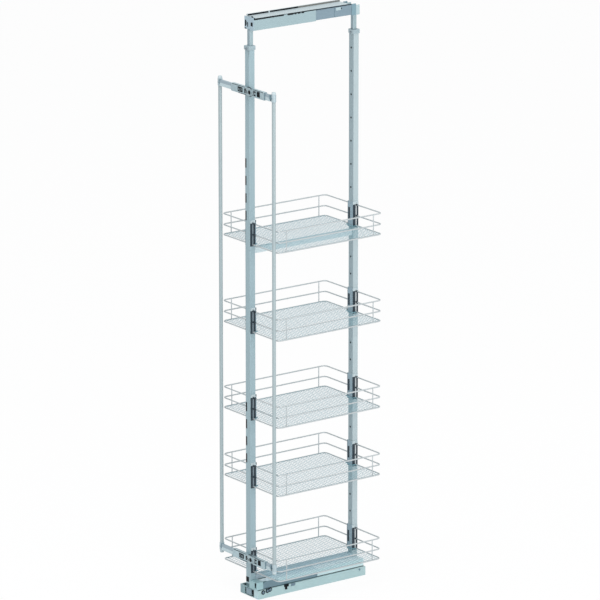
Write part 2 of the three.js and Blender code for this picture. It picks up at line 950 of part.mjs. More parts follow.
function post(sign, end) {
  const isLeftRear = sign < 0 && end > 0;
  const y = end * (basketLength / 2 - postInset) + (isLeftRear ? leftRearPostShift : 0);
  const middle = [(sign * basketWidth) / 2, y, -floorDrop / 2];
  return cylinder("z", postDiameter / 2, floorDrop, middle, 6);
}

function basketSolid() {
  const route = halfRoute(endWireStart);
  const halves = Object.values(sides).flatMap((sign) => {
    const half = route.map(([x, y]) => [sign * x, y]);
    const wires = [0, midWireDrop, floorDrop].map((drop) => wire(half, -drop, wireDiameter));
    const ends = [-1, 1].flatMap((end) => [hanger(sign, end), post(sign, end)]);
    return [...wires, ...ends];
  });
  return join([basketFloor(), ...halves]);
}

// A carrier as it sits on the rear column: a clip round the column's inner face and sides, with a
// groove in each wing for the basket's strips and a lug that hooks into the column.
function carrierSolid() {
  const inner = halfWidth + seatGap;
  const outer = inner + carrierWing;
  const back = columnInner - seatGap;
  const tips = columnInner + columnDepth - carrierWingSetback;
  const grooveMiddle = basketLength / 2;
  const grooveRoom = hangerWidth / 2 + seatGap;
  const bottom = carrierRise - carrierHeight;
  const clip = prismAlongZ(
    mirrored([
      [inner, back],
      [inner, tips],
      [outer, tips],
      [outer, back - carrierBack],
    ]),
    [bottom, carrierRise],
  );
  const grooves = Object.values(sides).map((sign) => {
    const near = sign * (outer - grooveDepth);
    const away = sign * (outer + 1);
    return block(
      [Math.min(near, away), Math.max(near, away)],
      [grooveMiddle - grooveRoom, grooveMiddle + grooveRoom],
      [bottom + grooveFloor, carrierRise + 1],
    );
  });
  const lug = block(
    [-lugWidth / 2, lugWidth / 2],
    [back - carrierBack / 2, columnInner + columnWall + lugReach],
    [-lugDrop - lugHeight, -lugDrop],
  );
  return cut(clip, grooves).add(lug);
}

function basketAssembly(rim, index) {
  const number = index + 1;
  const frontCarrier = piece(`basket_${number}_front_carrier`, carrierSolid(), "carrierPlastic");
  frontCarrier.rotation.z = Math.PI;
  const group = groupOf([
    piece(`basket_${number}`, basketSolid(), "basketWire"),
    piece(`basket_${number}_rear_carrier`, carrierSolid(), "carrierPlastic"),
    frontCarrier,
  ]);
  group.position.z = rim;
  return group;
}

// ---------------------------------------------------------------------------------------------
// Top runner: telescopic tubes, the channel they carry, a middle rail and the cabinet's rail
// ---------------------------------------------------------------------------------------------

function topTube(middle) {
  const outer = tubeSize / 2;
  const inner = outer - tubeWall;
  return prismAlongZ(
    rectangle([-outer, outer], [middle - outer, middle + outer]),
    [columnTop - tubeDepthInColumn, topBottom - seatGap],
    [rectangle([-inner, inner], [middle - inner, middle + inner])],
  );
}

// An upward channel: outer half width, sheet, height limits and length limits.
function upwardChannel(outer, wall, floor, [bottom, top], [front, rear]) {
  return prismAlongY(
    mirrored([
      [outer - wall, bottom + floor],
      [outer - wall, top],
      [outer, top],
      [outer, bottom],
    ]),
    [front, rear],
  );
}

function topFrontPlate() {
  const half = topChannelWidth / 2;
  const back = topChannelFront - seatGap;
  const front = back - topFrontPlateSheet;
  const plate = block([-half, half], [front, back], [topBottom, topBottom + topFrontPlateHeight]);
  const holeBottom = topBottom + topFrontHoleHeight;
  const holes = Object.values(sides).map((sign) => {
    const middle = (sign * topChannelWidth) / 3;
    return block(
      [middle - topFrontHoleWidth / 2, middle + topFrontHoleWidth / 2],
      [front - 1, back + 1],
      [holeBottom, holeBottom + topFrontHoleHeight],
    );
  });
  return cut(plate, holes);
}

function topMiddleRail() {
  const outer = topMiddleOuter;
  return prismAlongY(
    mirrored([
      [outer - topMiddleSheet, topMiddleBottom + topMiddleSheet],
      [outer - topMiddleSheet, topMiddleTop - topMiddleSheet],
      [outer - topMiddleLip, topMiddleTop - topMiddleSheet],
      [outer - topMiddleLip, topMiddleTop],
      [outer, topMiddleTop],
      [outer, topMiddleBottom],
    ]),
    [topChannelFront + topMiddleSetback, topExtensionRear - topMiddleRearGap],
  );
}

function topCabinetRail() {
  const half = topChannelWidth / 2;
  const headTop = topMiddleTop - topMiddleSheet - runningGap;
  const railFront = topChannelFront + topRailSetback;
  const length = [railFront, topExtensionRear - topRailRearGap];
  const profile = prismAlongY(
    mirrored([
      [topRailHead / 2, headTop - topRailHeadThickness],
      [topRailHead / 2, headTop],
      [topRailWeb / 2, headTop],
      [topRailWeb / 2, topRailBottom],
      [half, topRailBottom],
      [half, topRailTop],
    ]),
    length,
  );
  const rib = block([-half, topRailRibWidth - half], length, [
    topRailBottom,
    topRailTop + topRailRibHeight,
  ]);
  const rest = block(
    [-half - 1, topRailRibWidth - half + 1],
    [railFront + topRailBreakPlace, railFront + topRailBreakPlace + topRailBreakWidth],
    [topRailTop, topRailTop + topRailRibHeight + 1],
  );
  return profile.add(rib).subtract(rest);
}

function topAssembly() {
  const half = topChannelWidth / 2;
  const channel = upwardChannel(
    half,
    topChannelSheet,
    topChannelSheet,
    [topBottom, topEdge],
    [topChannelFront, topChannelRear],
  );
  const extension = upwardChannel(
    topExtensionOuter,
    topExtensionSheet,
    topExtensionSheet,
    [topExtensionBottom, topEdge - topExtensionDrop],
    [topChannelRear - topExtensionLap, topExtensionRear],
  );
  const blockFloor = topMiddleBottom - sideGap - topBottom;
  const rearBlock = upwardChannel(
    half,
    topBlockWall,
    blockFloor,
    [topBottom, topEdge],
    [topExtensionRear + seatGap, topBlockRear],
  );
  const endCap = upwardChannel(
    half,
    topBlockWall,
    blockFloor,
    [topBottom, topEdge - topEndDrop],
    [topBlockRear + seatGap, topEndRear],
  );
  return groupOf([
    piece("front_top_tube", topTube(-tubeMiddle), "zincSteel"),
    piece("rear_top_tube", topTube(tubeMiddle), "zincSteel"),
    piece("top_channel", channel, "lightSteel"),
    piece("top_front_plate", topFrontPlate(), "darkSteel"),
    piece("top_channel_extension", extension, "darkSteel"),
    piece("top_rear_block", rearBlock, "darkSteel"),
    piece("top_end_cap", endCap, "lightSteel"),
    piece("top_middle_rail", topMiddleRail(), "zincSteel"),
    piece("top_cabinet_rail", topCabinetRail(), "lightSteel"),
  ]);
}

// ---------------------------------------------------------------------------------------------
// Door bracket: two rods that the cabinet door is fixed to, on bars that slide in two sleeves
// ---------------------------------------------------------------------------------------------

function sleeve(middle) {
  const half = barHeight / 2 + sleeveGap;
  const outline = rectangle(
    [sleeveFront, sleeveBack],
    [middle - half - sleeveSheet, middle + half + sleeveSheet],
  );
  const inside = rectangle(
    [sleeveFront + sleeveSheet, sleeveBack - sleeveSheet],
    [middle - half, middle + half],
  );
  const tube = prismAlongX(outline, [sleeveLeft, sleeveRight], [inside]);
  const windows = sleeveWindows.map((limits) =>
    block(
      limits,
      [sleeveFront - 1, sleeveFront + sleeveSheet + sleeveGap / 2],
      [middle - sleeveWindowHeight / 2, middle + sleeveWindowHeight / 2],
    ),
  );
  const shankHole = cylinder(
    "y",
    adjusterShankRadius + seatGap,
    3 * sleeveSheet,
    [adjusterPlace, sleeveFront, middle],
    12,
  );
  return cut(tube, [...windows, shankHole]);
}

function bar(middle) {
  const reach = rodSpacing / 2 - endBlockRadius - seatGap;
  const height = barHeight / 2;
  return prismAlongX(
    rectangle([barFront, barBack], [middle - height, middle + height]),
    [-reach, reach],
    [
      rectangle(
        [barFront + barWall, barBack - barWall],
        [middle - height + barWall, middle + height - barWall],
      ),
    ],
  );
}

// A round head on the sleeve's front whose shank presses on the bar.
function adjuster(middle) {
  const back = sleeveFront - seatGap;
  const head = cylinder(
    "y",
    adjusterRadius,
    adjusterThickness,
    [adjusterPlace, back - adjusterThickness / 2, middle],
    20,
  );
  const tip = barFront - seatGap;
  const start = back - adjusterThickness / 2;
  const shank = cylinder(
    "y",
    adjusterShankRadius,
    tip - start,
    [adjusterPlace, (tip + start) / 2, middle],
    12,
  );
  return head.add(shank);
}

// The clamp at a rod's end: a round block with a blind bore, closed by a narrower cap. Its own
// frame has the middle of the bar at height 0 and the cap on top.
function endBlock(rodReach) {
  const sleevePart = cylinder("z", endBlockRadius, endBlockHeight, [0, 0, 0], 16);
  const overlap = 1;
  const capPart = cylinder(
    "z",
    endCapRadius,
    endCapHeight + overlap,
    [0, 0, endBlockHeight / 2 + (endCapHeight - overlap) / 2],
    16,
  );
  const boreTop = rodReach + seatGap;
  const boreBottom = -endBlockHeight / 2 - 1;
  const bore = cylinder(
    "z",
    rodRadius + seatGap,
    boreTop - boreBottom,
    [0, 0, (boreTop + boreBottom) / 2],
    16,
  );
  return sleevePart.add(capPart).subtract(bore);
}

function doorAssembly() {
  const pieces = [
    piece("upper_sleeve", sleeve(upperBarHeight), "darkSteel"),
    piece("lower_sleeve", sleeve(lowerBarHeight), "darkSteel"),
    piece("upper_bar", bar(upperBarHeight), "coatedSteel"),
    piece("lower_bar", bar(lowerBarHeight), "coatedSteel"),
    piece("upper_adjuster", adjuster(upperBarHeight), "darkSteel"),
    piece("lower_adjuster", adjuster(lowerBarHeight), "darkSteel"),
  ];
  Object.entries(sides).forEach(([side, sign]) => {
    const x = (sign * rodSpacing) / 2;
    const rod = cylinder("z", rodRadius, rodTop - rodBottom, [0, 0, (rodTop + rodBottom) / 2], 14);
    const upperBlock = piece(
      `upper_${side}_end_block`,
      endBlock(rodTop - upperBarHeight),
      "darkSteel",
      [x, rodMiddle, upperBarHeight],
    );
    const lowerBlock = piece(
      `lower_${side}_end_block`,
      endBlock(lowerBarHeight - rodBottom),
      "darkSteel",
      [x, rodMiddle, lowerBarHeight],
    );
    lowerBlock.rotation.x = Math.PI;
    pieces.push(piece(`${side}_rod`, rod, "coatedSteel", [x, rodMiddle, 0]), upperBlock, lowerBlock);
  });
  return groupOf(pieces);
}

// ---------------------------------------------------------------------------------------------

const larderUnit = groupOf([
  floorAssembly(),
  middleAssembly(),
  carriageAssembly(),
  frameAssembly(),
  ...rimHeights.map(basketAssembly),
  topAssembly(),
  doorAssembly(),
]);

export default larderUnit;
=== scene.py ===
# %% [markdown]
# # A pull-out larder unit
# This lesson dresses a tall, narrow larder unit: two columns that carry five wire baskets, a floor
# runner, a top runner, and a bracket of two rods for the cabinet door. It could be shown as it is,
# but its edges are sharp and its round pieces have few sides. So each piece is either softened from
# a copy of its solid or modelled again, and then it gets a finish.

# %% Load the frame
import json
from math import pi, radians

import bmesh
import bpy
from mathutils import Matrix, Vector


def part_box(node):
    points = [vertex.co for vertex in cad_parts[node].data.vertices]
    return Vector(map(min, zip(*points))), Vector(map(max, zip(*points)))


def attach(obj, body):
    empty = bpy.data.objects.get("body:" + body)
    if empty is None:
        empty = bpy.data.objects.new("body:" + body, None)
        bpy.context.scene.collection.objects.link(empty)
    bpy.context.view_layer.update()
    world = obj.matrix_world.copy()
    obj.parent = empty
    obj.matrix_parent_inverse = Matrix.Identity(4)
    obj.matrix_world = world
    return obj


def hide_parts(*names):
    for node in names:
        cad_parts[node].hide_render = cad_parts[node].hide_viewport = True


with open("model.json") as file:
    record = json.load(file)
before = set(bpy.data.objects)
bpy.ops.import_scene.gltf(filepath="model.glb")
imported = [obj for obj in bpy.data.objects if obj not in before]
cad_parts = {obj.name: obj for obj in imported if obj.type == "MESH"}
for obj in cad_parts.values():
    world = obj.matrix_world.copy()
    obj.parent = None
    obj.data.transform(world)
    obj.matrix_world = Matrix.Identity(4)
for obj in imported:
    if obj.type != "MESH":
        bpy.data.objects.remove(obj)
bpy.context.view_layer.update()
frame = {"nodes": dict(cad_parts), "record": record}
record = frame["record"]
body_of = {node: body for body, nodes in record["behaviour"]["bodies"].items() for node in nodes}

# %% [markdown]
# ## Working by hand, in code
# An operator acts on everything that is selected, so each step starts with nothing selected but
# the piece in hand. Sizes are written in millimetres, as on a drawing, and mm turns them into
# metres.

# %% Select, pick and apply
mm = 0.001


def hold(*pieces):
    """Selects only these pieces, the last one active."""
    bpy.ops.object.select_all(action="DESELECT")
    for piece in pieces:
        piece.select_set(True)
    bpy.context.view_layer.objects.active = pieces[-1]


def named(name):
    """The piece that an operator has just made, with a name."""
    bpy.context.object.name = name
    return bpy.context.object


def edit(piece, kind="FACE", action="DESELECT"):
    """Opens a piece in edit mode with nothing selected, or with action="SELECT" all of it."""
    hold(piece)
    bpy.ops.object.mode_set(mode="EDIT")
    bpy.ops.mesh.select_mode(type=kind)
    bpy.ops.mesh.select_all(action=action)


def done():
    """Back to object mode."""
    bpy.ops.object.mode_set(mode="OBJECT")


def facing_out():
    """Turns every face of the piece in edit mode outwards, and is done."""
    bpy.ops.mesh.select_all(action="SELECT")
    bpy.ops.mesh.normals_make_consistent(inside=False)
    done()


def pick_verts(piece, test):
    """Adds the corners whose place, in millimetres, passes the test to the selection."""
    mesh = bmesh.from_edit_mesh(piece.data)
    for vert in mesh.verts:
        if test(vert.co / mm):
            vert.select_set(True)
    mesh.select_flush(True)
    bmesh.update_edit_mesh(piece.data)


def pick_edges(piece, test):
    """Adds the edges whose two ends, in millimetres, pass the test to the selection."""
    mesh = bmesh.from_edit_mesh(piece.data)
    for edge in mesh.edges:
        if test(*(vert.co / mm for vert in edge.verts)):
            edge.select_set(True)
    bmesh.update_edit_mesh(piece.data)


def pick_faces(piece, test):
    """Adds the faces whose middle and normal pass the test to the selection."""
    mesh = bmesh.from_edit_mesh(piece.data)
    for face in mesh.faces:
        if test(face.calc_center_median() / mm, face.normal):
            face.select_set(True)
    bmesh.update_edit_mesh(piece.data)


def parted(piece, place, normal):
    """Cuts all faces along a plane, so that the two sides can be painted differently."""
    edit(piece, action="SELECT")
    bpy.ops.mesh.bisect(plane_co=Vector(place) * mm, plane_no=normal)
    done()


def modify(piece, kind, **settings):
    """Adds a modifier and applies it."""
    hold(piece)
    bpy.ops.object.modifier_add(type=kind)
    modifier = piece.modifiers[-1]
    for name, value in settings.items():
        setattr(modifier, name, value)
    bpy.ops.object.modifier_apply(modifier=modifier.name)


def smooth(piece, angle):
    """Shades a piece smooth, apart from its edges that are sharper than the angle."""
    hold(piece)
    bpy.ops.object.shade_smooth_by_angle(angle=radians(angle))
    return piece


def shaded(piece, angle=40):
    """Smooth over the small bevels and flat on the broad faces."""
    modify(smooth(piece, angle), "WEIGHTED_NORMAL", keep_sharp=True, weight=80)
    return piece


def settle(piece):
    """Puts a piece's place into its mesh and its object at the origin."""
    hold(piece)
    bpy.ops.object.transform_apply(location=True, rotation=True, scale=True)
    return piece


def placed(name, data):
    """A new object in the scene, for a mesh, a lamp or a camera."""
    made = bpy.data.objects.new(name, data)
    bpy.context.collection.objects.link(made)
    return made


def copy_of(piece, name, move=(0, 0, 0), turn=0, flip=None):
    """A copy with its own mesh, flipped along an axis, turned about Z and moved, in millimetres."""
    twin = placed(name, piece.data.copy())
    if flip is not None:
        twin.scale[flip] = -1
    twin.rotation_euler.z = turn
    twin.location = Vector(move) * mm
    settle(twin)
    if flip is not None:
        edit(twin)
        facing_out()
    return twin


def joined(name, *pieces):
    """Several meshes made one."""
    hold(*pieces)
    bpy.ops.object.join()
    return named(name)


# %% [markdown]
# Most pieces are pressed, drawn or moulded with the right shape already. A copy of such a solid
# comes as loose triangles: its doubles are merged and its flat faces dissolved into whole faces,
# and then a small bevel breaks the sharp edges, where the light catches a real sheet's edge.


# %% Copies of solids, with softened edges
def whole_faces(node, name):
    """A copy of a solid with merged corners and whole faces."""
    piece = placed(name, frame["nodes"][node].data.copy())
    edit(piece, "VERT", "SELECT")
    bpy.ops.mesh.remove_doubles(threshold=0.01 * mm)
    bpy.ops.mesh.dissolve_limited(angle_limit=radians(1))
    done()
    return piece


def broken_edges(piece, width):
    """Bevels every sharp edge, in millimetres."""
    limit = {"limit_method": "ANGLE", "angle_limit": radians(35), "use_clamp_overlap": True}
    modify(piece, "BEVEL", width=width * mm, segments=2, **limit)
    return shaded(piece)


# %% [markdown]
# ## The finishes
# Every finish is a few layers of noise over one colour, at the scale that the real one has: a
# powder coat has a fine orange peel and drifts a little in tone, zinc has spangles and rolling
# marks, a moulding has a faint sparkle from its tool. A small class writes the maths of such
# layers as plain expressions, and one method adds any other node.


# %% Shader maths as expressions
class Reading:
    """What a node gives out, to be used like a number."""

    def __init__(self, nodes, socket):
        self.nodes = nodes
        self.socket = socket

    def maths(self, operation, first, second):
        return self.nodes.node("Math", {"operation": operation}, {0: first, 1: second})

    def __add__(self, other):
        return self.maths("ADD", self, other)

    __radd__ = __add__

    def __sub__(self, other):
        return self.maths("SUBTRACT", self, other)

    def __rsub__(self, other):
        return self.maths("SUBTRACT", other, self)

    def __mul__(self, other):
        return self.maths("MULTIPLY", self, other)

    __rmul__ = __mul__

    def __gt__(self, other):
        return self.maths("GREATER_THAN", self, other)


class Nodes:
    """A node tree that any node can be added to."""

    def __init__(self, tree):
        self.tree = tree

    def node(self, kind, settings=None, sockets=None, output=0):
        """Any node: its settings first, then the values or readings of its sockets."""
        made = self.tree.nodes.new("ShaderNode" + kind)
        for name, value in (settings or {}).items():
            setattr(made, name, value)
        for name, value in (sockets or {}).items():
            self.feed(made.inputs[name], value)
        return Reading(self, made.outputs[output])

    def feed(self, target, value):
        if isinstance(value, Reading):
            self.tree.links.new(value.socket, target)
        else:
            target.default_value = value


class Finish(Nodes):
    """A material in the making."""

    def __init__(self, name):
        self.material = bpy.data.materials.new(name)
        self.material.use_nodes = True
        super().__init__(self.material.node_tree)
        self.shader = self.tree.nodes["Principled BSDF"]

    def give(self, **sockets):
        """Feeds the shader's own sockets, with _ for a space in their names."""
        for name, value in sockets.items():
            self.feed(self.shader.inputs[name.replace("_", " ")], value)
        return self.material

    def place(self, stretch=(1, 1, 1)):
        """The piece's own coordinates, in metres, stretched along its axes."""
        where = self.node("TexCoord", output="Object")
        return self.node("Mapping", {}, {"Vector": where, "Scale": stretch})

    def cloud(self, scale, detail=2, stretch=(1, 1, 1)):
        """Noise from 0 to 1, with this many lumps in a metre."""
        sockets = {"Vector": self.place(stretch), "Scale": scale, "Detail": detail}
        return self.node("TexNoise", {}, sockets)

    def blend(self, share, one, other):
        """A colour between two others."""
        sockets = {0: share, 6: one, 7: other}
        return self.node("Mix", {"data_type": "RGBA"}, sockets, output=2)

    def relief(self, height, depth):
        """A bump of this depth in millimetres."""
        sockets = {"Height": height, "Distance": depth * mm, "Strength": 1.0}
        return self.node("Bump", {}, sockets, output="Normal")


def tone(shade, factor=1.0):
    """A screen colour, 0 to 255, made linear by the sRGB curve, and then scaled."""
    levels = [level / 255 for level in shade]
    linear = [v / 12.92 if v < 0.04045 else ((v + 0.055) / 1.055) ** 2.4 for v in levels]
    return (*(min(1.0, v * factor) for v in linear), 1.0)


# %% [markdown]
# Powder coat is sprayed as dust and melted into a skin. The skin has an orange peel about a
# millimetre across, and where it lies thicker it is a touch deeper in colour and smoother.


# %% Powder-coated steel
def powder_coat(name, shade, shine=0.42, metal=0.0):
    drift = 0.05
    coat = Finish(name)
    thick = coat.cloud(9, 2)
    peel = coat.cloud(900, 2)
    dust = coat.cloud(2600, 1)
    colour = coat.blend(thick, tone(shade, 1 - drift), tone(shade, 1 + drift))
    speckled = coat.blend((dust > 0.63) * 0.25, colour, tone(shade, 0.8))
    return coat.give(
        Base_Color=speckled,
        Roughness=shine + 0.14 * peel - 0.1 * thick,
        Metallic=metal,
        Normal=coat.relief(peel, 0.03),
    )


# %% [markdown]
# Zinc-plated and drawn steel is bare metal under a thin bright skin. Rolling and drawing leave
# fine lines along the length, and the plating a faint mottle of spangles a few millimetres wide.


# %% Bright zinc and drawn tube
def zinc_plate(name, shade, lines=(1, 1, 1)):
    shine, metal = 0.3, 0.85
    plate = Finish(name)
    sockets = {"Vector": plate.place(), "Scale": 160.0}
    spangle = plate.node("TexVoronoi", {}, sockets, output="Color")
    spangle = plate.node("SeparateColor", {}, {0: spangle})
    drawn = plate.cloud(1500, 2, lines)
    haze = plate.cloud(14, 3)
    share = 0.35 * spangle + 0.35 * drawn + 0.3 * haze
    return plate.give(
        Base_Color=plate.blend(share, tone(shade, 0.82), tone(shade, 1.15)),
        Roughness=shine + 0.16 * drawn + 0.1 * haze,
        Metallic=metal,
        Normal=plate.relief(drawn, 0.01),
    )


# %% [markdown]
# Mouldings carry the fine spark-eroded texture of their tool. It scatters the light, so they look
# satin, and handling polishes it in soft patches.


# %% Moulded plastic
def moulded(name, shade, shine=0.5, gloss=0.5):
    drift = 0.08
    plastic = Finish(name)
    tool = plastic.cloud(1800, 3)
    handled = plastic.cloud(40, 2)
    return plastic.give(
        Base_Color=plastic.blend(handled, tone(shade, 1 - drift), tone(shade, 1 + drift)),
        Roughness=shine + 0.18 * tool - 0.12 * handled,
        Specular_IOR_Level=gloss,
        Normal=plastic.relief(tool, 0.025),
    )


# %% [markdown]
# Each name below is a finish of this unit, and each shade was chosen so that it looks right in the
# studio at the end. A sheet with a bright side and a grey side wears two finishes, and the darkest
# mouldings have little gloss, so that they stay dark.

# %% The finishes of this unit
finish = {
    "column": powder_coat("column_silver_coat", (151, 174, 181)),
    "rear_column": powder_coat("rear_column_silver_coat", (150, 168, 174)),
    # Painted light: a lighter copy of the rear column's coat for its side faces.
    "rear_column_lit_side": powder_coat("rear_column_side_painted_light_coat", (171, 186, 190)),
    # Painted shade: a near-black finish for the faces inside the tubes.
    "tube_inside_shade": moulded("tube_inside_painted_shade", (14, 18, 22), 0.7, gloss=0.1),
    "beam": powder_coat("beam_silver_coat", (203, 218, 222)),
    "dark_beam": powder_coat("bottom_beam_grey_coat", (169, 187, 196)),
    "base": powder_coat("base_pale_coat", (169, 195, 197)),
    # Painted shade and painted light: a darker and a lighter coat for the pan's two front flanges.
    "base_painted_shade": powder_coat("base_left_flange_painted_shade_coat", (138, 166, 171)),
    "base_painted_light": powder_coat("base_right_flange_painted_light_coat", (190, 216, 220)),
    "carriage": powder_coat("carriage_pale_coat", (194, 218, 221)),
    # Painted light: a near-white coat for the carriage's top faces.
    "carriage_lit_top": powder_coat("carriage_top_painted_light_coat", (238, 248, 250)),
    "cover": powder_coat("cover_pale_coat", (152, 185, 189)),
    "side_plate": powder_coat("side_plate_grey_coat", (105, 131, 142)),
    # Painted shade: a dark teal for the shade in gaps, behind slots and under plates.
    "shaded_gap": powder_coat("painted_shade_dark_teal_coat", (58, 92, 98)),
    "top_sheet": powder_coat("carriage_top_sheet_coat", (209, 228, 235)),
    "top": powder_coat("top_channel_pale_coat", (151, 173, 178)),
    "top_dark": powder_coat("top_extension_grey_coat", (121, 142, 154)),
    "top_plate": powder_coat("top_plate_grey_coat", (162, 184, 195)),
    "cabinet_rail": powder_coat("cabinet_rail_pale_coat", (178, 192, 196)),
    "brown": powder_coat("rib_strip_brown_coat", (112, 112, 108)),
    "bar": powder_coat("bar_silver_coat", (150, 168, 177), 0.36),
    # Painted highlight: a lighter copy of the bar coat.
    "bar_painted_highlight": powder_coat("bar_painted_highlight_coat", (186, 204, 209), 0.36),
    "rod": powder_coat("rod_silver_coat", (164, 178, 181), 0.34, 0.2),
    "block": powder_coat("end_block_silver_coat", (170, 187, 193), 0.36, 0.2),
    "basket": powder_coat("basket_silver_coat", (184, 191, 193), 0.3, 0.25),
    "mesh": powder_coat("mesh_floor_coat", (119, 161, 172), 0.4, 0.1),
    "strip_shade": powder_coat("front_strip_coat", (120, 134, 142), 0.3, 0.25),
    "rail": zinc_plate("rail_zinc", (150, 164, 170), (1, 0.02, 1)),
    "tube": zinc_plate("tube_drawn_zinc", (156, 174, 181), (1, 1, 0.02)),
    # Painted light: a lighter copy of the tube's zinc for its side faces.
    "tube_lit_side": zinc_plate("tube_side_painted_light_zinc", (170, 190, 195), (1, 1, 0.02)),
    "sleeve": zinc_plate("sleeve_zinc", (176, 196, 202), (0.02, 1, 1)),
    "adjuster": zinc_plate("adjuster_zinc", (168, 185, 190)),
    "screw": zinc_plate("screw_zinc", (150, 160, 166)),
    "carrier": moulded("carrier_dark_plastic", (40, 53, 62), gloss=0.3),
    "carrier_panel": moulded("carrier_panel_plastic", (146, 168, 179)),
    "carrier_top": moulded("carrier_top_plastic", (186, 200, 204)),
    "collar": moulded("collar_plastic", (151, 169, 175)),
    "foot": moulded("column_foot_plastic", (76, 106, 112)),
    "rail_cap": moulded("rail_cap_plastic", (132, 156, 166)),
    "top_block": moulded("top_block_plastic", (118, 148, 159)),
    "top_cap": moulded("top_cap_plastic", (168, 188, 192)),
    "disc": moulded("base_disc_plastic", (104, 127, 141)),
    "roller": moulded("roller_plastic", (40, 44, 48), 0.35),
    "black": moulded("black_plastic", (10, 15, 20), 0.6, gloss=0.15),
}
print(len(finish), "finishes")


# %% [markdown]
# A piece that takes a solid's place is painted and tied to the body that the solid belongs to. Some
# pieces wear a second finish on a few faces, such as the painted shade inside a tube, and many
# carry small clips and seals, and dark plugs, blocks and strips that are painted shade.


# %% Painting and mounting a piece
def added(piece, node, coat):
    """Gives a piece its finish and lets it move with a solid."""
    piece.data.materials.clear()
    piece.data.materials.append(finish[coat])
    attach(piece, body_of[node])
    return piece


def dressed(piece, node, coat):
    """Does the same, and puts the piece in the place of the solid."""
    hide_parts(node)
    return added(piece, node, coat)


def tinted(piece, coat, test):
    """Gives the faces whose middle, in millimetres, and normal pass the test another finish."""
    piece.data.materials.append(finish[coat])
    last = len(piece.data.materials) - 1
    for face in piece.data.polygons:
        if test(face.center / mm, face.normal):
            face.material_index = last
    return piece


def flat_block(name, low, high):
    """A block between two corners, in millimetres, ready to be shaped."""
    low, high = Vector(low), Vector(high)
    bpy.ops.mesh.primitive_cube_add(size=1, location=(low + high) / 2 * mm)
    piece = named(name)
    piece.scale = (high - low) * mm
    return settle(piece)


def fitting(name, node, coat, low, high, round_by=0.3):
    """A small plug, clip or seal between two corners, with rounded edges."""
    piece = flat_block(name, low, high)
    return added(broken_edges(piece, round_by), node, coat)


# %% [markdown]
# ## Pressed, drawn and moulded pieces
# These keep their solids' shapes. The bevel is as wide as the bend or break of the real edge:
# about a third of a millimetre on cut sheet, more on a moulding.

# %% Pieces that only need softer edges
softened = [
    ("floor_pan", "base", 0.3),
    ("middle_rail", "rail", 0.3),
    ("middle_rail_cap", "rail_cap", 0.8),
    ("carriage", "carriage", 0.5),
    ("runner", "rail", 0.3),
    ("front_column_foot", "foot", 0.6),
    ("cross_beam", "beam", 0.7),
    ("bottom_beam", "dark_beam", 0.7),
    ("front_collar", "collar", 0.7),
    ("rear_collar", "collar", 0.7),
    ("top_channel", "top", 0.5),
    ("top_front_plate", "top_plate", 0.4),
    ("top_channel_extension", "top_dark", 0.5),
    ("top_rear_block", "top_block", 0.8),
    ("top_end_cap", "top_cap", 1.0),
    ("top_middle_rail", "rail", 0.3),
    ("top_cabinet_rail", "cabinet_rail", 0.3),
    ("upper_sleeve", "sleeve", 0.4),
    ("lower_sleeve", "sleeve", 0.4),
]
shells = {}
for node, coat, width in softened:
    piece = broken_edges(whole_faces(node, node + "_shell"), width)
    shells[node] = dressed(piece, node, coat)
# The rear collar's front faces wear the lighter end-block coat, as painted light.
tinted(shells["rear_collar"], "block", lambda at, normal: normal.y < -0.9)
print(len(softened), "softened pieces")

# %% [markdown]
# The columns and the telescopic tubes are drawn square tubes. Their long outer corners are rolled
# to a radius of a few millimetres, much rounder than the edges of the punched holes, so these
# corners are bevelled on their own. The faces inside a tube are painted near black, as shade, and
# black strips in the slots and black plugs in the holes paint the shade that they show and keep the
# edges of the punched sheet from view.


# %% Square tubes with rolled corners
def rolled_tube(node, coat, radius, half_width, faces_y):
    """A tube whose long corners, at +-half_width and at the two Y faces, are round."""
    wall = 0.9
    tube = whole_faces(node, node + "_tube")
    front, back = faces_y

    def is_corner(a, b):
        along = abs(a.x - b.x) < 0.01 and abs(a.y - b.y) < 0.01
        outside = abs(abs(a.x) - half_width) < 0.05
        return along and outside and min(abs(a.y - front), abs(a.y - back)) < 0.05

    low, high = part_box(node)

    def is_inside(middle, normal):
        within = abs(middle.x) < half_width - wall and front + 0.2 < middle.y < back - 0.2
        return within and low.z / mm + 1 < middle.z < high.z / mm - 1

    edit(tube, "EDGE")
    pick_edges(tube, is_corner)
    bpy.ops.mesh.bevel(offset=radius * mm, segments=4, affect="EDGES")
    done()
    dressed(shaded(tube, 30), node, coat)
    return tinted(tube, "tube_inside_shade", is_inside)


column_half, column_round = 13.5, 2.2
front_column_faces = (-249.5, -224.5)
rear_column_faces = (224.5, 249.5)
tube_half, tube_round = 8, 1.6
tube_faces = {"front_top_tube": (-243, -227), "rear_top_tube": (227, 243)}
rolled_tube("front_column", "column", column_round, column_half, front_column_faces)
rear_column = rolled_tube(
    "rear_column", "rear_column", column_round, column_half, rear_column_faces
)
# The side faces of the rear column wear a lighter copy of its coat, as painted light.
tinted(rear_column, "rear_column_lit_side", lambda at, normal: abs(at.x) > column_half - 0.1)
for node, faces_y in tube_faces.items():
    tube = rolled_tube(node, "tube", tube_round, tube_half, faces_y)
    # The side faces of each tube wear a lighter copy of its zinc, as painted light.
    tinted(tube, "tube_lit_side", lambda at, normal: abs(at.x) > tube_half - 0.1)
print("two columns and", len(tube_faces), "telescopic tubes")

# %% [markdown]
# The columns are punched at one pitch. A black block in the front column's foot window, and black
# strips in its slots, are painted shade: one strip is modelled, copied to each slot, and all are
# joined to one piece.

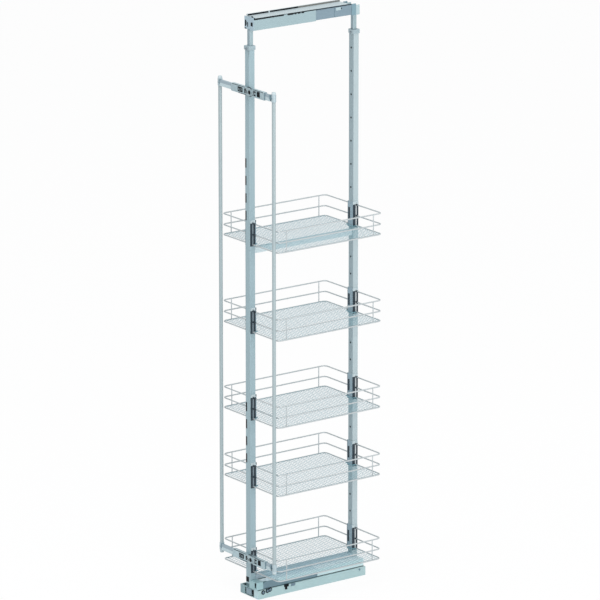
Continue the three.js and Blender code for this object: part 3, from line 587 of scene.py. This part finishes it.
# %% Painted shade in the front column's window and slots
punch_pitch = 66
fitting("front_column_window_shade", "front_column", "black", (-13.9, -250, 57), (4, -240, 75.5))
lowest_slots = (521, 1450)
slot_bottoms = [lowest + punch_pitch * step for lowest in lowest_slots for step in range(4)]
slot_shade = broken_edges(flat_block("slot_painted_shade", (-12.7, -249.8, 0), (-5.3, -249, 35)), 0.2)
slot_shades = [copy_of(slot_shade, "slot_painted_shade", (0, 0, bottom)) for bottom in slot_bottoms]
added(joined("front_column_slot_painted_shades", *slot_shades), "front_column", "black")
bpy.data.objects.remove(slot_shade)
print(len(slot_shades), "slot liners")

# %% [markdown]
# ## The base
# The floor pan's front has two flanges: the left one is painted darker, as shade, and the right one
# lighter, as light. Black-rimmed discs are riveted to its side, and behind them sit a bolt in a
# black bracket and a grey clip. The runner ends in a pale lip with a rubber bumper below it. The
# carriage has a thin sheet on its right half with a dark strip of painted shade beside it, a cover
# with a slot in front, and a stiffening plate with one rounded corner. Its top faces are painted
# lighter, as light.
#
# Discs, bolts and plugs are round, so they are made as on a lathe: a circle is drawn out ring by
# ring, and then laid along the axis that the real piece has.


# %% A lathe
quarter = pi / 2
turn_to = {"Z": (0, 0, 0), "-Z": (pi, 0, 0), "-Y": (quarter, 0, 0)}
turn_to.update({"X": (0, quarter, 0), "-X": (0, -quarter, 0)})


def turned(name, place, rings, sides=32, axis="Z"):
    """A lathe piece: (radius, height) rings from one end to the other, in millimetres."""
    first, start = rings[0]
    bpy.ops.mesh.primitive_circle_add(vertices=sides, radius=first * mm, fill_type="NGON")
    piece = named(name)
    edit(piece, action="SELECT")
    bpy.ops.transform.translate(value=(0, 0, start * mm))
    for (old, low), (new, high) in zip(rings, rings[1:]):
        rise = {"value": (0, 0, (high - low) * mm)}
        bpy.ops.mesh.extrude_region_move(TRANSFORM_OT_translate=rise)
        if new != old:
            share = new / old
            bpy.ops.transform.resize(value=(share, share, 1), center_override=(0, 0, high * mm))
    facing_out()
    piece.rotation_euler = turn_to[axis]
    piece.location = Vector(place) * mm
    return smooth(settle(piece), 32)


# %% [markdown]
# The rear column has a few holes above each basket and a wider-spaced row at the top. Each holds a
# black plug with a flat head, painted shade for the dark inside of the hole.

# %% Painted shade in the rear column's holes
rims = (1440, 1107, 774, 511, 180)
holes_above_rims = (0, 2, 2, 1, 2)
hole_shade_heights = []
for height, count in zip(rims, holes_above_rims):
    hole_shade_heights += [height + punch_pitch * (step + 1) for step in range(count)]
first_top_hole, top_hole_pitch = 1506, 88.4
hole_shade_heights += [first_top_hole + top_hole_pitch * step for step in range(7)]
hole_shade_rings = [(2.2, -2), (2.2, 0), (3.7, 0), (3.7, 0.3), (3.2, 0.6)]
hole_shade = turned("painted_hole_shade", (0, rear_column_faces[0], 0), hole_shade_rings, 16, "-Y")
hole_shades = [copy_of(hole_shade, "painted_hole_shade", (0, 0, height)) for height in hole_shade_heights]
added(joined("rear_column_painted_hole_shades", *hole_shades), "rear_column", "black")
bpy.data.objects.remove(hole_shade)
print(len(hole_shades), "hole_shades")

# %% [markdown]
# The front of the pan is one face in its solid, so it is cut beside each flange before the flanges
# are painted: the left one darker, as painted shade, and the right one lighter, as painted light.
# A disc is two pieces, a black rim and a dished grey head.

# %% Flanges, discs, bolts and clips of the floor pan
pan = shells["floor_pan"]
flange_inner = 28.8
pan_front = -240


def flange_face(side):
    """The test for the front face of the flange on one side."""
    inner = flange_inner - 0.8
    return lambda at, normal: at.x * side > inner and at.y < pan_front and normal.y < -0.9


for side, coat in ((-1, "base_painted_shade"), (1, "base_painted_light")):
    parted(pan, (side * flange_inner, 0, 0), (1, 0, 0))
    tinted(pan, coat, flange_face(side))
rim_rings = [(8.6, -0.4), (8.6, 0.3), (8.1, 0.6)]
disc_rings = [(4.8, 0), (4.8, 0.9), (4, 1.2), (2, 1.2), (2, 0.7)]
disc_places = ((-223.2, 24.8), (-203.4, 27.8), (-191.8, 30))
for y, z in disc_places:
    rim = turned("pan_disc_rim", (58.4, y, z), rim_rings, 32, "X")
    added(rim, "floor_pan", "black")
    added(turned("pan_disc", (58.9, y, z), disc_rings, 32, "X"), "floor_pan", "disc")
fitting("pan_bracket_top", "floor_pan", "black", (57.1, -126, 26), (58.9, -105, 36.5), 0.5)
fitting("pan_bracket_foot", "floor_pan", "black", (57.1, -122, 16), (58.7, -112, 26.5), 0.5)
fitting("pan_clip", "floor_pan", "disc", (57.1, -94, 24), (58.4, -75, 34), 0.5)
bolt = turned("pan_rear_bolt", (58.4, 226, 27), [(4.4, -0.4), (4.4, 0.5), (3.8, 0.9)], 24, "X")
added(bolt, "floor_pan", "side_plate")
print("the floor pan's fittings, with", len(disc_places), "discs")

# %% [markdown]
# The thin sheets of the carriage are blocks of their real thickness, and its strips of painted
# shade are thin blocks too; all are laid on it with a hair's gap, so that no two faces lie in the
# same place.

# %% The carriage and the runner's front end
# The carriage's top faces, and the rib on them, are painted lighter, as the light that falls on
# them.
tinted(shells["carriage"], "carriage_lit_top", lambda at, normal: normal.z > 0.9 and at.z > 65)
fitting("carriage_top_sheet", "carriage", "top_sheet", (35, -221, 66.1), (51.5, 31, 66.8))
fitting("carriage_top_tongue", "carriage", "top_sheet", (14, -183, 66.1), (34.6, 31, 66.8))
fitting("carriage_top_rib", "carriage", "carriage_lit_top", (26.4, -221, 66.1), (34.6, -186, 67.2))
# Painted shade: a dark strip for the shadow beside the sheet, and one behind the plate's round
# corner.
fitting("carriage_painted_shadow_strip", "carriage", "shaded_gap", (15, -221, 66.1), (26, -184, 66.5))
fitting("carriage_corner_painted_shade", "carriage", "shaded_gap", (52.05, -221.5, 38), (52.25, -204, 65.6))
fitting("runner_lip", "runner", "cover", (-26, -246, 30.3), (27.5, -243.2, 34.2), 0.6)
fitting("runner_bumper", "runner", "black", (15.4, -245.2, 11.5), (28.3, -243.2, 26), 0.5)
print("sheets, groove, lip and bumper")

# %% [markdown]
# The slot of the cover is wider in the real piece than in its solid, so the slot's corners are
# spread and moved, and a dark strip behind it is painted shade. The stiffening plate is cut square
# in its solid, and its upper front corner is rounded here with a wide bevel. A dark strip along its
# lower edge is painted shadow.

# %% The cover and the stiffening plate
slot_middle, slot_spread = 39, 2.8
slot_shift = Vector((8.5, 0, 2.2))
plate_round = 15
cover = whole_faces("carriage_front_plate", "carriage_cover")
edit(cover, "VERT")
pick_verts(cover, lambda at: abs(at.x - slot_middle) < 2.5 and 41 < at.z < 62)
bpy.ops.transform.resize(value=(slot_spread, 1, 1), center_override=(slot_middle * mm, 0, 0))
bpy.ops.transform.translate(value=slot_shift * mm)
done()
dressed(broken_edges(cover, 0.5), "carriage_front_plate", "cover")
# Painted shade: a dark strip behind the cover's slot.
cover_slot_shade_box = ((41, -249.7, 42), (54, -249.2, 65))
fitting("cover_slot_painted_shade", "carriage_front_plate", "shaded_gap", *cover_slot_shade_box)
plate = whole_faces("carriage_side_plate", "carriage_stiffener")
edit(plate, "EDGE")
pick_edges(plate, lambda a, b: a.z > 60 and b.z > 60 and a.y < -220 and b.y < -220)
bpy.ops.mesh.bevel(offset=plate_round * mm, segments=8, affect="EDGES")
done()
dressed(broken_edges(plate, 0.4), "carriage_side_plate", "side_plate")
# Painted shadow: a dark strip under the stiffening plate.
side_shadow_box = ((52.4, -160, 35), (55.2, 31, 37.6))
fitting("carriage_side_seal", "carriage_side_plate", "shaded_gap", *side_shadow_box)
print("the carriage's plates")

# %% [markdown]
# ## The baskets
# A basket is welded from round wire: three wires, each bent in two halves that end at the columns,
# four short posts, four flat strips that hang in the carriers, and a floor of fine mesh. A bent
# wire could be a swept profile, but a flat outline is quicker: a plane is cut to half the basket,
# its corners are rounded, its face is dropped, and the line that is left becomes a round wire.


# %% One bent wire, half a basket long
basket_width, basket_depth = 350, 474
wire_radius = 2.5
corner_radius = 15
wire_end = 16.9


def bent_wire(name, height):
    """The right half of one wire, from the front strip round to the rear strip."""
    bpy.ops.mesh.primitive_plane_add(size=1, location=(0, 0, height * mm))
    half = named(name)
    half.scale = (basket_width * mm, basket_depth * mm, 1)
    settle(half)
    edit(half, "VERT", "SELECT")
    cut_at = (wire_end * mm, 0, 0)
    bpy.ops.mesh.bisect(plane_co=cut_at, plane_no=(1, 0, 0), clear_inner=True)
    bpy.ops.mesh.select_all(action="DESELECT")
    pick_verts(half, lambda at: at.x > 100)
    bpy.ops.mesh.bevel(offset=corner_radius * mm, segments=6, affect="VERTICES")
    bpy.ops.mesh.select_all(action="DESELECT")
    bpy.ops.mesh.select_mode(type="EDGE")
    pick_edges(half, lambda a, b: a.x < wire_end + 1 and b.x < wire_end + 1)
    bpy.ops.mesh.delete(type="EDGE")
    done()
    bpy.ops.object.convert(target="CURVE")
    half = bpy.context.object
    half.data.bevel_depth = wire_radius * mm
    half.data.bevel_resolution = 3
    half.data.use_fill_caps = True
    bpy.ops.object.convert(target="MESH")
    half = bpy.context.object
    edit(half)
    facing_out()
    return half


rim = bent_wire("basket_rim", 0)
print("one wire:", len(rim.data.polygons), "faces")


# %% [markdown]
# Posts are straight wire, so a cylinder is laid between two points. The strips are cut from flat
# bar and their edges are broken. All are joined with the wires to one half of a basket, and the
# other half is its mirror image, apart from the rear left post, which stands 6 mm further back.


# %% Posts and strips
middle_wire, floor_wire = -42, -80
strip_y = basket_depth / 2
post_x, post_y, left_rear_post_y = 173, 199, 205


def round_bar(name, radius, ends, sides=12):
    """A straight round bar between two points, in millimetres."""
    start, end = (Vector(point) for point in ends)
    way = end - start
    bpy.ops.mesh.primitive_cylinder_add(
        vertices=sides,
        radius=radius * mm,
        depth=way.length * mm,
        location=(start + end) / 2 * mm,
        rotation=way.to_track_quat("Z", "Y").to_euler(),
    )
    return settle(named(name))


def post(x, y):
    bar = round_bar("basket_post", 2, ((x, y, floor_wire - 1), (x, y, 1.2)), 10)
    modify(bar, "BEVEL", width=0.8 * mm, segments=2, limit_method="ANGLE")
    return bar


right_wires = [rim]
right_wires += [copy_of(rim, "basket_wire", (0, 0, drop)) for drop in (middle_wire, floor_wire)]
for end in (-1, 1):
    y = end * strip_y
    strip = flat_block("basket_strip", (15.2, y - 3, floor_wire - 3), (16.7, y + 3, 4))
    modify(strip, "BEVEL", width=0.5 * mm, segments=2, limit_method="ANGLE")
    right_wires.append(strip)
right_half = joined("basket_right_half", *right_wires)
left_half = copy_of(right_half, "basket_left_half", flip=0)
posts = [post(post_x, -post_y), post(post_x, post_y)]
posts += [post(-post_x, -post_y), post(-post_x, left_rear_post_y)]
print("two halves of wire:", 2 * len(right_half.data.polygons), "faces")

# %% [markdown]
# The mesh of the floor is welded from two layers of thin wire, about 13 mm apart. There are dozens
# of them in each basket, so one wire has only six sides, and an Array lays out the rest. The
# wires that would run into a column stop at a notch, which has a thicker wire round it.


# %% Rows of thin wire
pitch = 13
strand_radius = 0.6
upper_layer, lower_layer, notch_layer = -78.6, -79.7, -79.5
notch_x, notch_y = 21, 219


def mesh_row(first, last, step, count):
    """A row of thin wires: one between two points, repeated a number of times by a step."""
    strand = round_bar("mesh_wire", strand_radius, (first, last), 6)
    modify(strand, "ARRAY", count=count, use_relative_offset=False, use_constant_offset=True,
           constant_offset_displace=Vector(step) * mm)
    return strand


def long_row(x, reach, step=0, count=1):
    """Wires from front to rear, in the upper layer."""
    return mesh_row((x, -reach, upper_layer), (x, reach, upper_layer), (step, 0, 0), count)


def cross_row(x_start, x_end, y, step=0, count=1):
    """Wires from side to side, in the lower layer."""
    return mesh_row((x_start, y, lower_layer), (x_end, y, lower_layer), (0, step, 0), count)


print("a mesh of", pitch, "mm")


# %% [markdown]
# Three rows of wires are laid down the middle between the notches, the long rows fill both sides,
# and the cross rows run below them. A bar in three straight parts goes round each notch.

# %% The rows of one floor
notch_reach, side_reach, corner_reach = 218, 236, 232
notch_bar_radius = 1.5


def notch_bar(start, end):
    return round_bar("notch_bar", notch_bar_radius, (start, end), 8)


def mesh_floor():
    rows = [long_row(-pitch, notch_reach, pitch, 3)]
    rows.append(cross_row(-post_x, post_x, -16 * pitch, pitch, 33))
    for side in (-1, 1):
        rows.append(long_row(side * 2 * pitch, side_reach, side * pitch, 11))
        rows.append(long_row(side * 13 * pitch, corner_reach))
        for end in (-1, 1):
            rows.append(cross_row(side * (notch_x - 0.5), side * post_x, end * 17 * pitch))
    for end in (-1, 1):
        left, right = ((side * notch_x, end * notch_y, notch_layer) for side in (-1, 1))
        rows.append(notch_bar(left, right))
        for x, y, z in (left, right):
            rows.append(notch_bar((x, y, z), (x, end * strip_y, z)))
    return joined("basket_mesh_floor", *rows)


floor_mesh = mesh_floor()
print("mesh floor:", len(floor_mesh.data.polygons), "faces")


# %% [markdown]
# The five baskets are copies of one. Their front strips stand in the shade of the column, so they
# are a tone deeper, and dark caps cover the ends of the wires beside the carriers. The cap that
# runs to the right of the front column is long, and the others are short.


# %% Five baskets from one
cap_places = ((1, -strip_y, 19), (-1, -strip_y, 6), (1, strip_y, 8), (-1, strip_y, 8))


def is_front_strip(at, normal):
    return abs(at.x) < 16.8 and at.y < -233


basket = joined("basket_pattern", left_half, *posts, right_half)
for piece in (basket, floor_mesh):
    smooth(piece, 40)
caps = []
for side, y, length in cap_places:
    cap_rings = [(2.9, 0), (3.2, 0.4), (3.2, length - 0.5), (2.8, length)]
    axis = "X" if side > 0 else "-X"
    caps.append(turned("wire_cap", (side * 17.6, y, 0), cap_rings, 16, axis))
caps += [copy_of(piece, "wire_cap", (0, 0, middle_wire)) for piece in list(caps)]
wire_caps = joined("wire_caps_pattern", *caps)
for number, height in enumerate(rims, 1):
    node = f"basket_{number}"
    lift = (0, 0, height)
    wires = dressed(copy_of(basket, node + "_wires", lift), node, "basket")
    tinted(wires, "strip_shade", is_front_strip)
    added(copy_of(floor_mesh, node + "_mesh_floor", lift), node, "mesh")
    added(copy_of(wire_caps, node + "_wire_caps", lift), node, "carrier")
for piece in (basket, floor_mesh, wire_caps):
    bpy.data.objects.remove(piece)
print("five baskets")

# %% [markdown]
# ## The carriers
# A carrier is a moulding that clips round a column and takes the basket's strips in a groove on
# each side. Its wings are dark up to the height of the rim and pale above it, the wall that faces
# the basket is grey, and a dark block stands in that wall, with a small hook beside its top. Where
# the front carriers' wings turn into that wall they are grey too. One copy serves all ten places,
# turned round for the front column.


# %% One carrier, then ten
pattern_rim = rims[0]
shoulder = 1.5
wall_y = 223
turn_y = 225.6


def carrier_pattern():
    carrier = whole_faces("basket_1_rear_carrier", "carrier_pattern")
    edit(carrier)
    pick_faces(carrier, lambda at, normal: normal.y < -0.9 and at.y < wall_y - 0.2)
    bpy.ops.mesh.inset(thickness=1.6 * mm)
    bpy.ops.mesh.inset(thickness=0.3 * mm, depth=-0.5 * mm)
    done()
    parted(carrier, (0, 0, pattern_rim + shoulder), (0, 0, 1))
    parted(carrier, (0, turn_y, 0), (0, 1, 0))
    return broken_edges(carrier, 0.3)


def is_basket_wall(at, normal):
    return abs(at.y) < wall_y + 0.2 and abs(normal.y) > 0.9 and abs(at.x) < 16


def is_wing_turn(at, normal):
    return abs(at.y) < turn_y + 0.1 and abs(normal.x) > 0.9 and abs(at.x) > 16.5


pattern = carrier_pattern()
wall_block_box = ((-13.5, 222.5, pattern_rim - 57), (-3, 223.6, pattern_rim - 12))
hook_box = ((-17.6, 222.5, pattern_rim + 3), (-14, 226, pattern_rim + 11.5))
wall_block = broken_edges(flat_block("wall_block_pattern", *wall_block_box), 0.5)
hook = broken_edges(flat_block("hook_pattern", *hook_box), 0.6)
wall_block = joined("wall_block_and_hook_pattern", hook, wall_block)
for number, height in enumerate(rims, 1):
    for end, turn in (("rear", 0), ("front", pi)):
        node = f"basket_{number}_{end}_carrier"
        move = (0, 0, height - pattern_rim)
        clip = dressed(copy_of(pattern, node + "_clip", move, turn), node, "carrier")
        tinted(clip, "carrier_top", lambda at, normal: at.z > height + shoulder)
        tinted(clip, "carrier_panel", is_basket_wall)
        if end == "front":
            tinted(clip, "carrier_panel", is_wing_turn)
        added(copy_of(wall_block, node + "_wall_block", move, turn), node, "carrier")
bpy.data.objects.remove(pattern)
bpy.data.objects.remove(wall_block)
print("ten carriers")

# %% [markdown]
# ## The door bracket
# Two bars slide in sleeves on the front column and carry two long rods. Rods and end blocks are
# round, and their solids have a dozen sides, so each is made again on the lathe with more of them.

# %% Bars, rods and end blocks
block_rings = [(7.4, -8), (7.4, -14), (8.2, -14), (9, -13), (9, 12.6), (8.8, 13.6), (8, 14)]
block_rings += [(8, 18.5), (7.6, 20.6), (6.4, 22.3), (4, 23)]
grub_rings = [(2.6, -1.2), (2.6, 0.4), (2.2, 0.7), (1.3, 0.7), (1.3, -0.6)]
bar_heights = {"upper": 1941, "lower": 155}
rod_x, rod_y = 167, -251
for side, x in (("left", -rod_x), ("right", rod_x)):
    low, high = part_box(side + "_rod")
    reach = (high.z - low.z) / 2 / mm
    rod_rings = [(6.2, -reach), (6.9, 0.6 - reach), (7, 1.5 - reach)]
    rod_rings += [(radius, -height) for radius, height in reversed(rod_rings)]
    rod = turned(side + "_rod_round", (x, rod_y, (low.z + high.z) / 2 / mm), rod_rings)
    dressed(rod, side + "_rod", "rod")
    for level, height in bar_heights.items():
        node = f"{level}_{side}_end_block"
        axis = "Z" if level == "upper" else "-Z"
        block = turned(node + "_turned", (x, rod_y, height), block_rings, axis=axis)
        dressed(block, node, "block")
        tinted(block, "carrier_top", lambda at, normal: abs(at.z - height) > 14.2)
        grub_at = (x, rod_y - 8.6, height)
        grub = turned(node + "_grub_screw", grub_at, grub_rings, 16, "-Y")
        added(grub, node, "side_plate")
for level, height in bar_heights.items():
    node = level + "_bar"
    bar = whole_faces(node, node + "_drawn")
    seam = height + 1
    parted(bar, (0, 0, seam), (0, 0, 1))
    dressed(broken_edges(bar, 0.8), node, "bar")
    # The lower half of each bar's front wears a lighter coat, as a painted highlight.
    tinted(bar, "bar_painted_highlight", lambda at, normal: normal.y < -0.5 and at.z < seam)
    # A dark block at each end of a bar is painted shade, where the bar meets the end block.
    for side in (-1, 1):
        ends = sorted((side * 157.4, side * 153.6))
        end_shade_low = (ends[0], -262.3, height - 5)
        end_shade_high = (ends[1], -252, height + 12.6)
        fitting(f"{node}_seal", node, "side_plate", end_shade_low, end_shade_high, 0.5)
print("rods, end blocks and bars")

# %% [markdown]
# Each sleeve has three windows: a ribbed black guide fills the left one, a catch divides the
# middle one, and a black lock fills the right one. Between them a bright oval plate carries the
# adjuster that clamps the bar, a disc with an arrow mark and a star recess for the key, which is
# painted black as its shade. Behind the plate lies a dark oval a little larger than itself, painted
# shadow that shows round its edge, and dark seals line the sleeve's edges.
#
# A star starts as a circle of which every second corner is drawn in, and an oval is a turned disc
# of radius 1 that is stretched to its size.


# %% A star and an oval
def star(name, place, points, outer, inner, depth):
    """A flat star that faces the front, in millimetres."""
    bpy.ops.mesh.primitive_circle_add(vertices=2 * points, radius=outer * mm, fill_type="NGON")
    piece = named(name)
    edit(piece, "VERT")
    mesh = bmesh.from_edit_mesh(piece.data)
    for number, vert in enumerate(mesh.verts):
        vert.select_set(number % 2 == 1)
    bmesh.update_edit_mesh(piece.data)
    share = inner / outer
    bpy.ops.transform.resize(value=(share, share, 1), center_override=(0, 0, 0))
    bpy.ops.mesh.select_all(action="SELECT")
    bpy.ops.mesh.extrude_region_move(TRANSFORM_OT_translate={"value": (0, 0, depth * mm)})
    facing_out()
    piece.rotation_euler = turn_to["-Y"]
    piece.location = Vector(place) * mm
    return settle(piece)


def oval(name, place, half_width, half_height, thick):
    """A flat oval plate that faces the front, in millimetres."""
    edge = 0.3
    rings = [(1, 0), (1, thick - edge), (1 - edge / half_height, thick)]
    piece = turned(name, (0, 0, 0), rings, 64, "-Y")
    piece.scale = (half_width, 1, half_height)
    piece.location = Vector(place) * mm
    return settle(piece)


# %% [markdown]
# Both sleeves carry the same fittings, so these are written once, with heights measured from the
# middle of the bar.

# %% Sleeves and adjusters
head_rings = [(4, -3), (4, 0), (15.4, 0), (16, 0.6), (16, 2.6), (15.4, 3.2)]
rib_places = (-32, -23.5, -15)
sleeve_fittings = (
    ("guide", "black", (-37.8, -264.6, -8.6), (-8.5, -263.7, 8.6)),
    ("stop", "black", (4.8, -265.6, -8), (14.6, -264.9, 9)),
    ("catch", "black", (62.5, -264.6, -8.6), (73, -263.7, 9)),
    ("tongue", "sleeve", (66.5, -265, -3), (73.2, -264.5, 4)),
    ("lock", "black", (82.5, -264.7, -9), (98.5, -263.7, 11)),
    ("wiper", "side_plate", (125.3, -264, -13), (128.3, -261.7, 14)),
    ("upper_seal", "carrier", (-74, -264.4, 12.4), (6, -263.8, 15)),
    ("right_seal", "carrier", (58, -264.4, 12.4), (118, -263.8, 15)),
    ("lower_seal", "carrier", (-34, -264.4, -15), (14, -263.8, -12.6)),
)
for level, height in bar_heights.items():
    node = level + "_sleeve"
    for name, coat, low, high in sleeve_fittings:
        box = ((low[0], low[1], height + low[2]), (high[0], high[1], height + high[2]))
        fitting(f"{node}_{name}", node, coat, *box)
    for x in rib_places:
        rib = ((x - 1.8, -264.6, height - 5), (x + 1.8, -264.6, height + 5))
        added(round_bar(node + "_guide_rib", 0.9, rib), node, "sleeve")
    # Painted shadow: a dark oval behind the plate, a little larger, shows round its edge.
    plate_shadow = oval(node + "_plate_shadow", (34, -263.9, height + 1.4), 22, 18.6, 0.5)
    added(plate_shadow, node, "carrier")
    plate = oval(node + "_oval_plate", (31.5, -264.1, height + 0.8), 27, 15.4, 1)
    added(plate, node, "adjuster")
    node = level + "_adjuster"
    dressed(turned(node + "_head", (31, -264.3, height), head_rings, 48, "-Y"), node, "adjuster")
    # The star is black, as painted shade for the recess.
    star_shade = star(node + "_star", (38.8, -267.4, height + 0.5), 8, 8.8, 6.8, 0.5)
    added(star_shade, node, "black")
    arrow = ((19.5, -267.5, height + 5), (25.5, -267.5, height - 6))
    added(round_bar(node + "_arrow", 1.3, arrow), node, "black")
print("two sleeves with", len(sleeve_fittings), "fittings each, and two adjusters")

# %% [markdown]
# ## The top runner
# A black strip runs along the cabinet rail's rib, with a gap near its front, and turns grey-brown
# towards the rear. A dark strip along the channel's upper edge is painted shade, for the gap under
# the rail's plate, with a joint near its middle, and short black blocks stand over it. The black
# patches on the front plate are painted shade in its slots, and one marks a tab. The channel's rear
# extension wears a second sheet with a bare little plate and a rivet.

# %% Dark strips, black blocks and painted shade of the top runner
rib_strips = ((-229, -137, "black"), (-130, -3, "black"), (-3, 187, "brown"))
black_block_places = ((-86, -62), (-56, -46), (-41, -29), (-24, -12))
for y_low, y_high, coat in rib_strips:
    dark_strip = ((-22, y_low, 2211.2), (-21.2, y_high, 2216.9))
    fitting("rib_seal", "top_cabinet_rail", coat, *dark_strip)
channel_edge_shades = (
    ("top_channel", 28, -238, -103, 2203.4, "black"),
    ("top_channel", 28, -88, -58, 2203.4, "black"),
    ("top_channel", 28, -58, 41, 2205.4, "black"),
    ("top_channel_extension", 25.7, 43, 205, 2203.9, "carrier"),
)
# Painted shade: dark strips along the channel's upper edge, for the gap under the rail's plate.
for node, x, y_low, y_high, z_low, coat in channel_edge_shades:
    dark_strip = ((x + 0.05, y_low, z_low), (x + 0.7, y_high, 2208.6))
    fitting(node + "_seal", node, coat, *dark_strip, 0.2)
for y_low, y_high in black_block_places:
    black_block = ((28.1, y_low, 2202.3), (29, y_high, 2208.7))
    fitting("top_channel_black_block", "top_channel", "black", *black_block)
plate_slot_shades = (
    ("left_slot", -24, -18, 2174, 2198),
    ("inner_slot", -10, -5, 2174, 2191),
    ("left_tab", -25, -16, 2164.5, 2169),
    ("right_slot", 11.5, 23, 2180, 2192.5),
)
# The black patches on the front plate are painted shade in its slots, and one marks a tab.
for name, left, right, bottom, top in plate_slot_shades:
    plate_slot_shade = ((left, -240.9, bottom), (right, -240.3, top))
    fitting("top_plate_" + name, "top_front_plate", "black", *plate_slot_shade)
fitting("cabinet_rail_plug", "top_cabinet_rail", "black", (3, -231.6, 2209.3), (13, -230.8, 2214))
extension_fittings = (
    ("extension_plate", "top_dark", (25.8, 129, 2168), (26.6, 205.5, 2204)),
    ("extension_step", "side_plate", (25.8, 127.5, 2168), (26.7, 129, 2204)),
    ("extension_label_plate", "top_cap", (26.5, 134, 2191), (27, 156, 2202)),
)
for name, coat, low, high in extension_fittings:
    fitting(name, "top_channel_extension", coat, low, high)
rivet_rings = [(2.2, 0), (2.2, 0.5), (1.4, 0.8)]
rivet = turned("extension_rivet", (26.6, 159.5, 2197), rivet_rings, 16, "X")
added(rivet, "top_channel_extension", "black")
print("the top runner's fittings")

# %% [markdown]
# The clamp screws in the collars have a hollow head for the key, and the rollers inside the floor
# runner are plain wheels with bevelled edges. Both are lathe work again.

# %% The clamp screws and the rollers
for end in ("front", "rear"):
    node = end + "_clamp_screw"
    low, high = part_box(node)
    length = (high.y - low.y) / mm
    middle = (low + high) / 2 / mm
    rings = [(2.5, -length), (2.5, -3), (4, -3), (4, -0.8), (3.4, 0), (1.9, 0), (1.7, -1.6)]
    screw = turned(node + "_turned", (middle.x, low.y / mm, middle.z), rings, 24, "-Y")
    dressed(screw, node, "screw")
wheel_rings = [(3.1, -2.5), (5.4, -2.5), (6, -1.9), (6, 1.9), (5.4, 2.5), (3.1, 2.5)]
wheels = [node for node in frame["nodes"] if "roller" in node]
for node in wheels:
    low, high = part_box(node)
    wheel = turned(node + "_wheel", (low + high) / 2 / mm, wheel_rings, 24, "X")
    dressed(wheel, node, "roller")
print(len(wheels), "rollers")

# %% [markdown]
# ## Studio
# The floor is plain and pale. For the camera it is mostly pure white, with enough of its own
# shading left to keep the shadow of the unit.

# %% Floor
floor_radius = 60
white_share = 0.93
bpy.ops.mesh.primitive_circle_add(vertices=64, radius=floor_radius, fill_type="NGON")
ground = named("studio_floor")
paper = Finish("studio_paper")
paper.give(Base_Color=(0.94, 0.94, 0.94, 1), Roughness=0.9)
sight = paper.node("LightPath", output="Is Camera Ray")
glow = paper.node("Emission", {}, {"Color": (1, 1, 1, 1), "Strength": 1.0})
own_shade = Reading(paper, paper.shader.outputs[0])
seen = paper.node("MixShader", {}, {0: sight * white_share, 1: own_shade, 2: glow})
paper.feed(paper.tree.nodes["Material Output"].inputs["Surface"], seen)
ground.data.materials.append(paper.material)
print("a paper floor,", 2 * floor_radius, "m across")

# %% [markdown]
# The air around the unit gives an even, faintly blue light, and shows as white to the camera and
# in reflections.

# %% World
air_tint = (0.96, 0.98, 1, 1)
air_strength = 0.72
world = bpy.data.worlds.new("studio_air")
bpy.context.scene.world = world
world.use_nodes = True
air = Nodes(world.node_tree)
camera_ray = air.node("LightPath", output="Is Camera Ray")
glossy_ray = air.node("LightPath", output="Is Glossy Ray")
clear_ray = air.node("LightPath", output="Is Transmission Ray")
soft = air.node("Background", {}, {"Color": air_tint, "Strength": air_strength})
white = air.node("Background", {}, {"Color": (1, 1, 1, 1), "Strength": 1.0})
sum_of_two = {"operation": "ADD", "use_clamp": True}
seen_white = air.node("Math", sum_of_two, {0: camera_ray + glossy_ray, 1: clear_ray})
mixed = air.node("MixShader", {}, {0: seen_white, 1: soft, 2: white})
air.feed(air.tree.nodes["World Output"].inputs["Surface"], mixed)
print("air of strength", air_strength)

# %% [markdown]
# One very large lamp on the right makes the right-hand faces the brighter ones, and a smaller one
# above brings out the tops.


# %% Lamps
def soft_box(name, place, size, power):
    """A large square lamp that looks at the middle of the unit."""
    lamp = bpy.data.lights.new(name, "AREA")
    lamp.shape = "SQUARE"
    lamp.size = size
    lamp.energy = power
    stand = placed(name, lamp)
    stand.location = place
    aim = Vector((0, 0, 1.1)) - Vector(place)
    stand.rotation_euler = aim.to_track_quat("-Z", "Y").to_euler()


lamps = (("right_soft_box", (12, -2.5, 5), 7, 700), ("top_soft_box", (1, -2, 8), 4, 160))
for lamp in lamps:
    soft_box(*lamp)
print(len(lamps), "lamps")

# %% [markdown]
# The upright edges of the photo are almost parallel, so it was taken from far off with a long
# lens. The camera's place, aim and lens come from a fit to points of the photo whose places on the
# unit are known.

# %% Camera
camera_place = (15.144, -11.155, 6.274)
camera_aim = Vector((0, -0.0102, 1.109))
focal_length = 315.5
lens = bpy.data.cameras.new("photo_camera")
lens.sensor_width = 36
lens.lens = focal_length
lens.clip_end = 200
viewer = placed("photo_camera", lens)
viewer.location = camera_place
sight_line = camera_aim - viewer.location
viewer.rotation_euler = sight_line.to_track_quat("-Z", "Y").to_euler()
bpy.context.scene.camera = viewer
bpy.context.scene.view_settings.view_transform = "Standard"
print("camera", round(sight_line.length, 1), "m away, with a", focal_length, "mm lens")
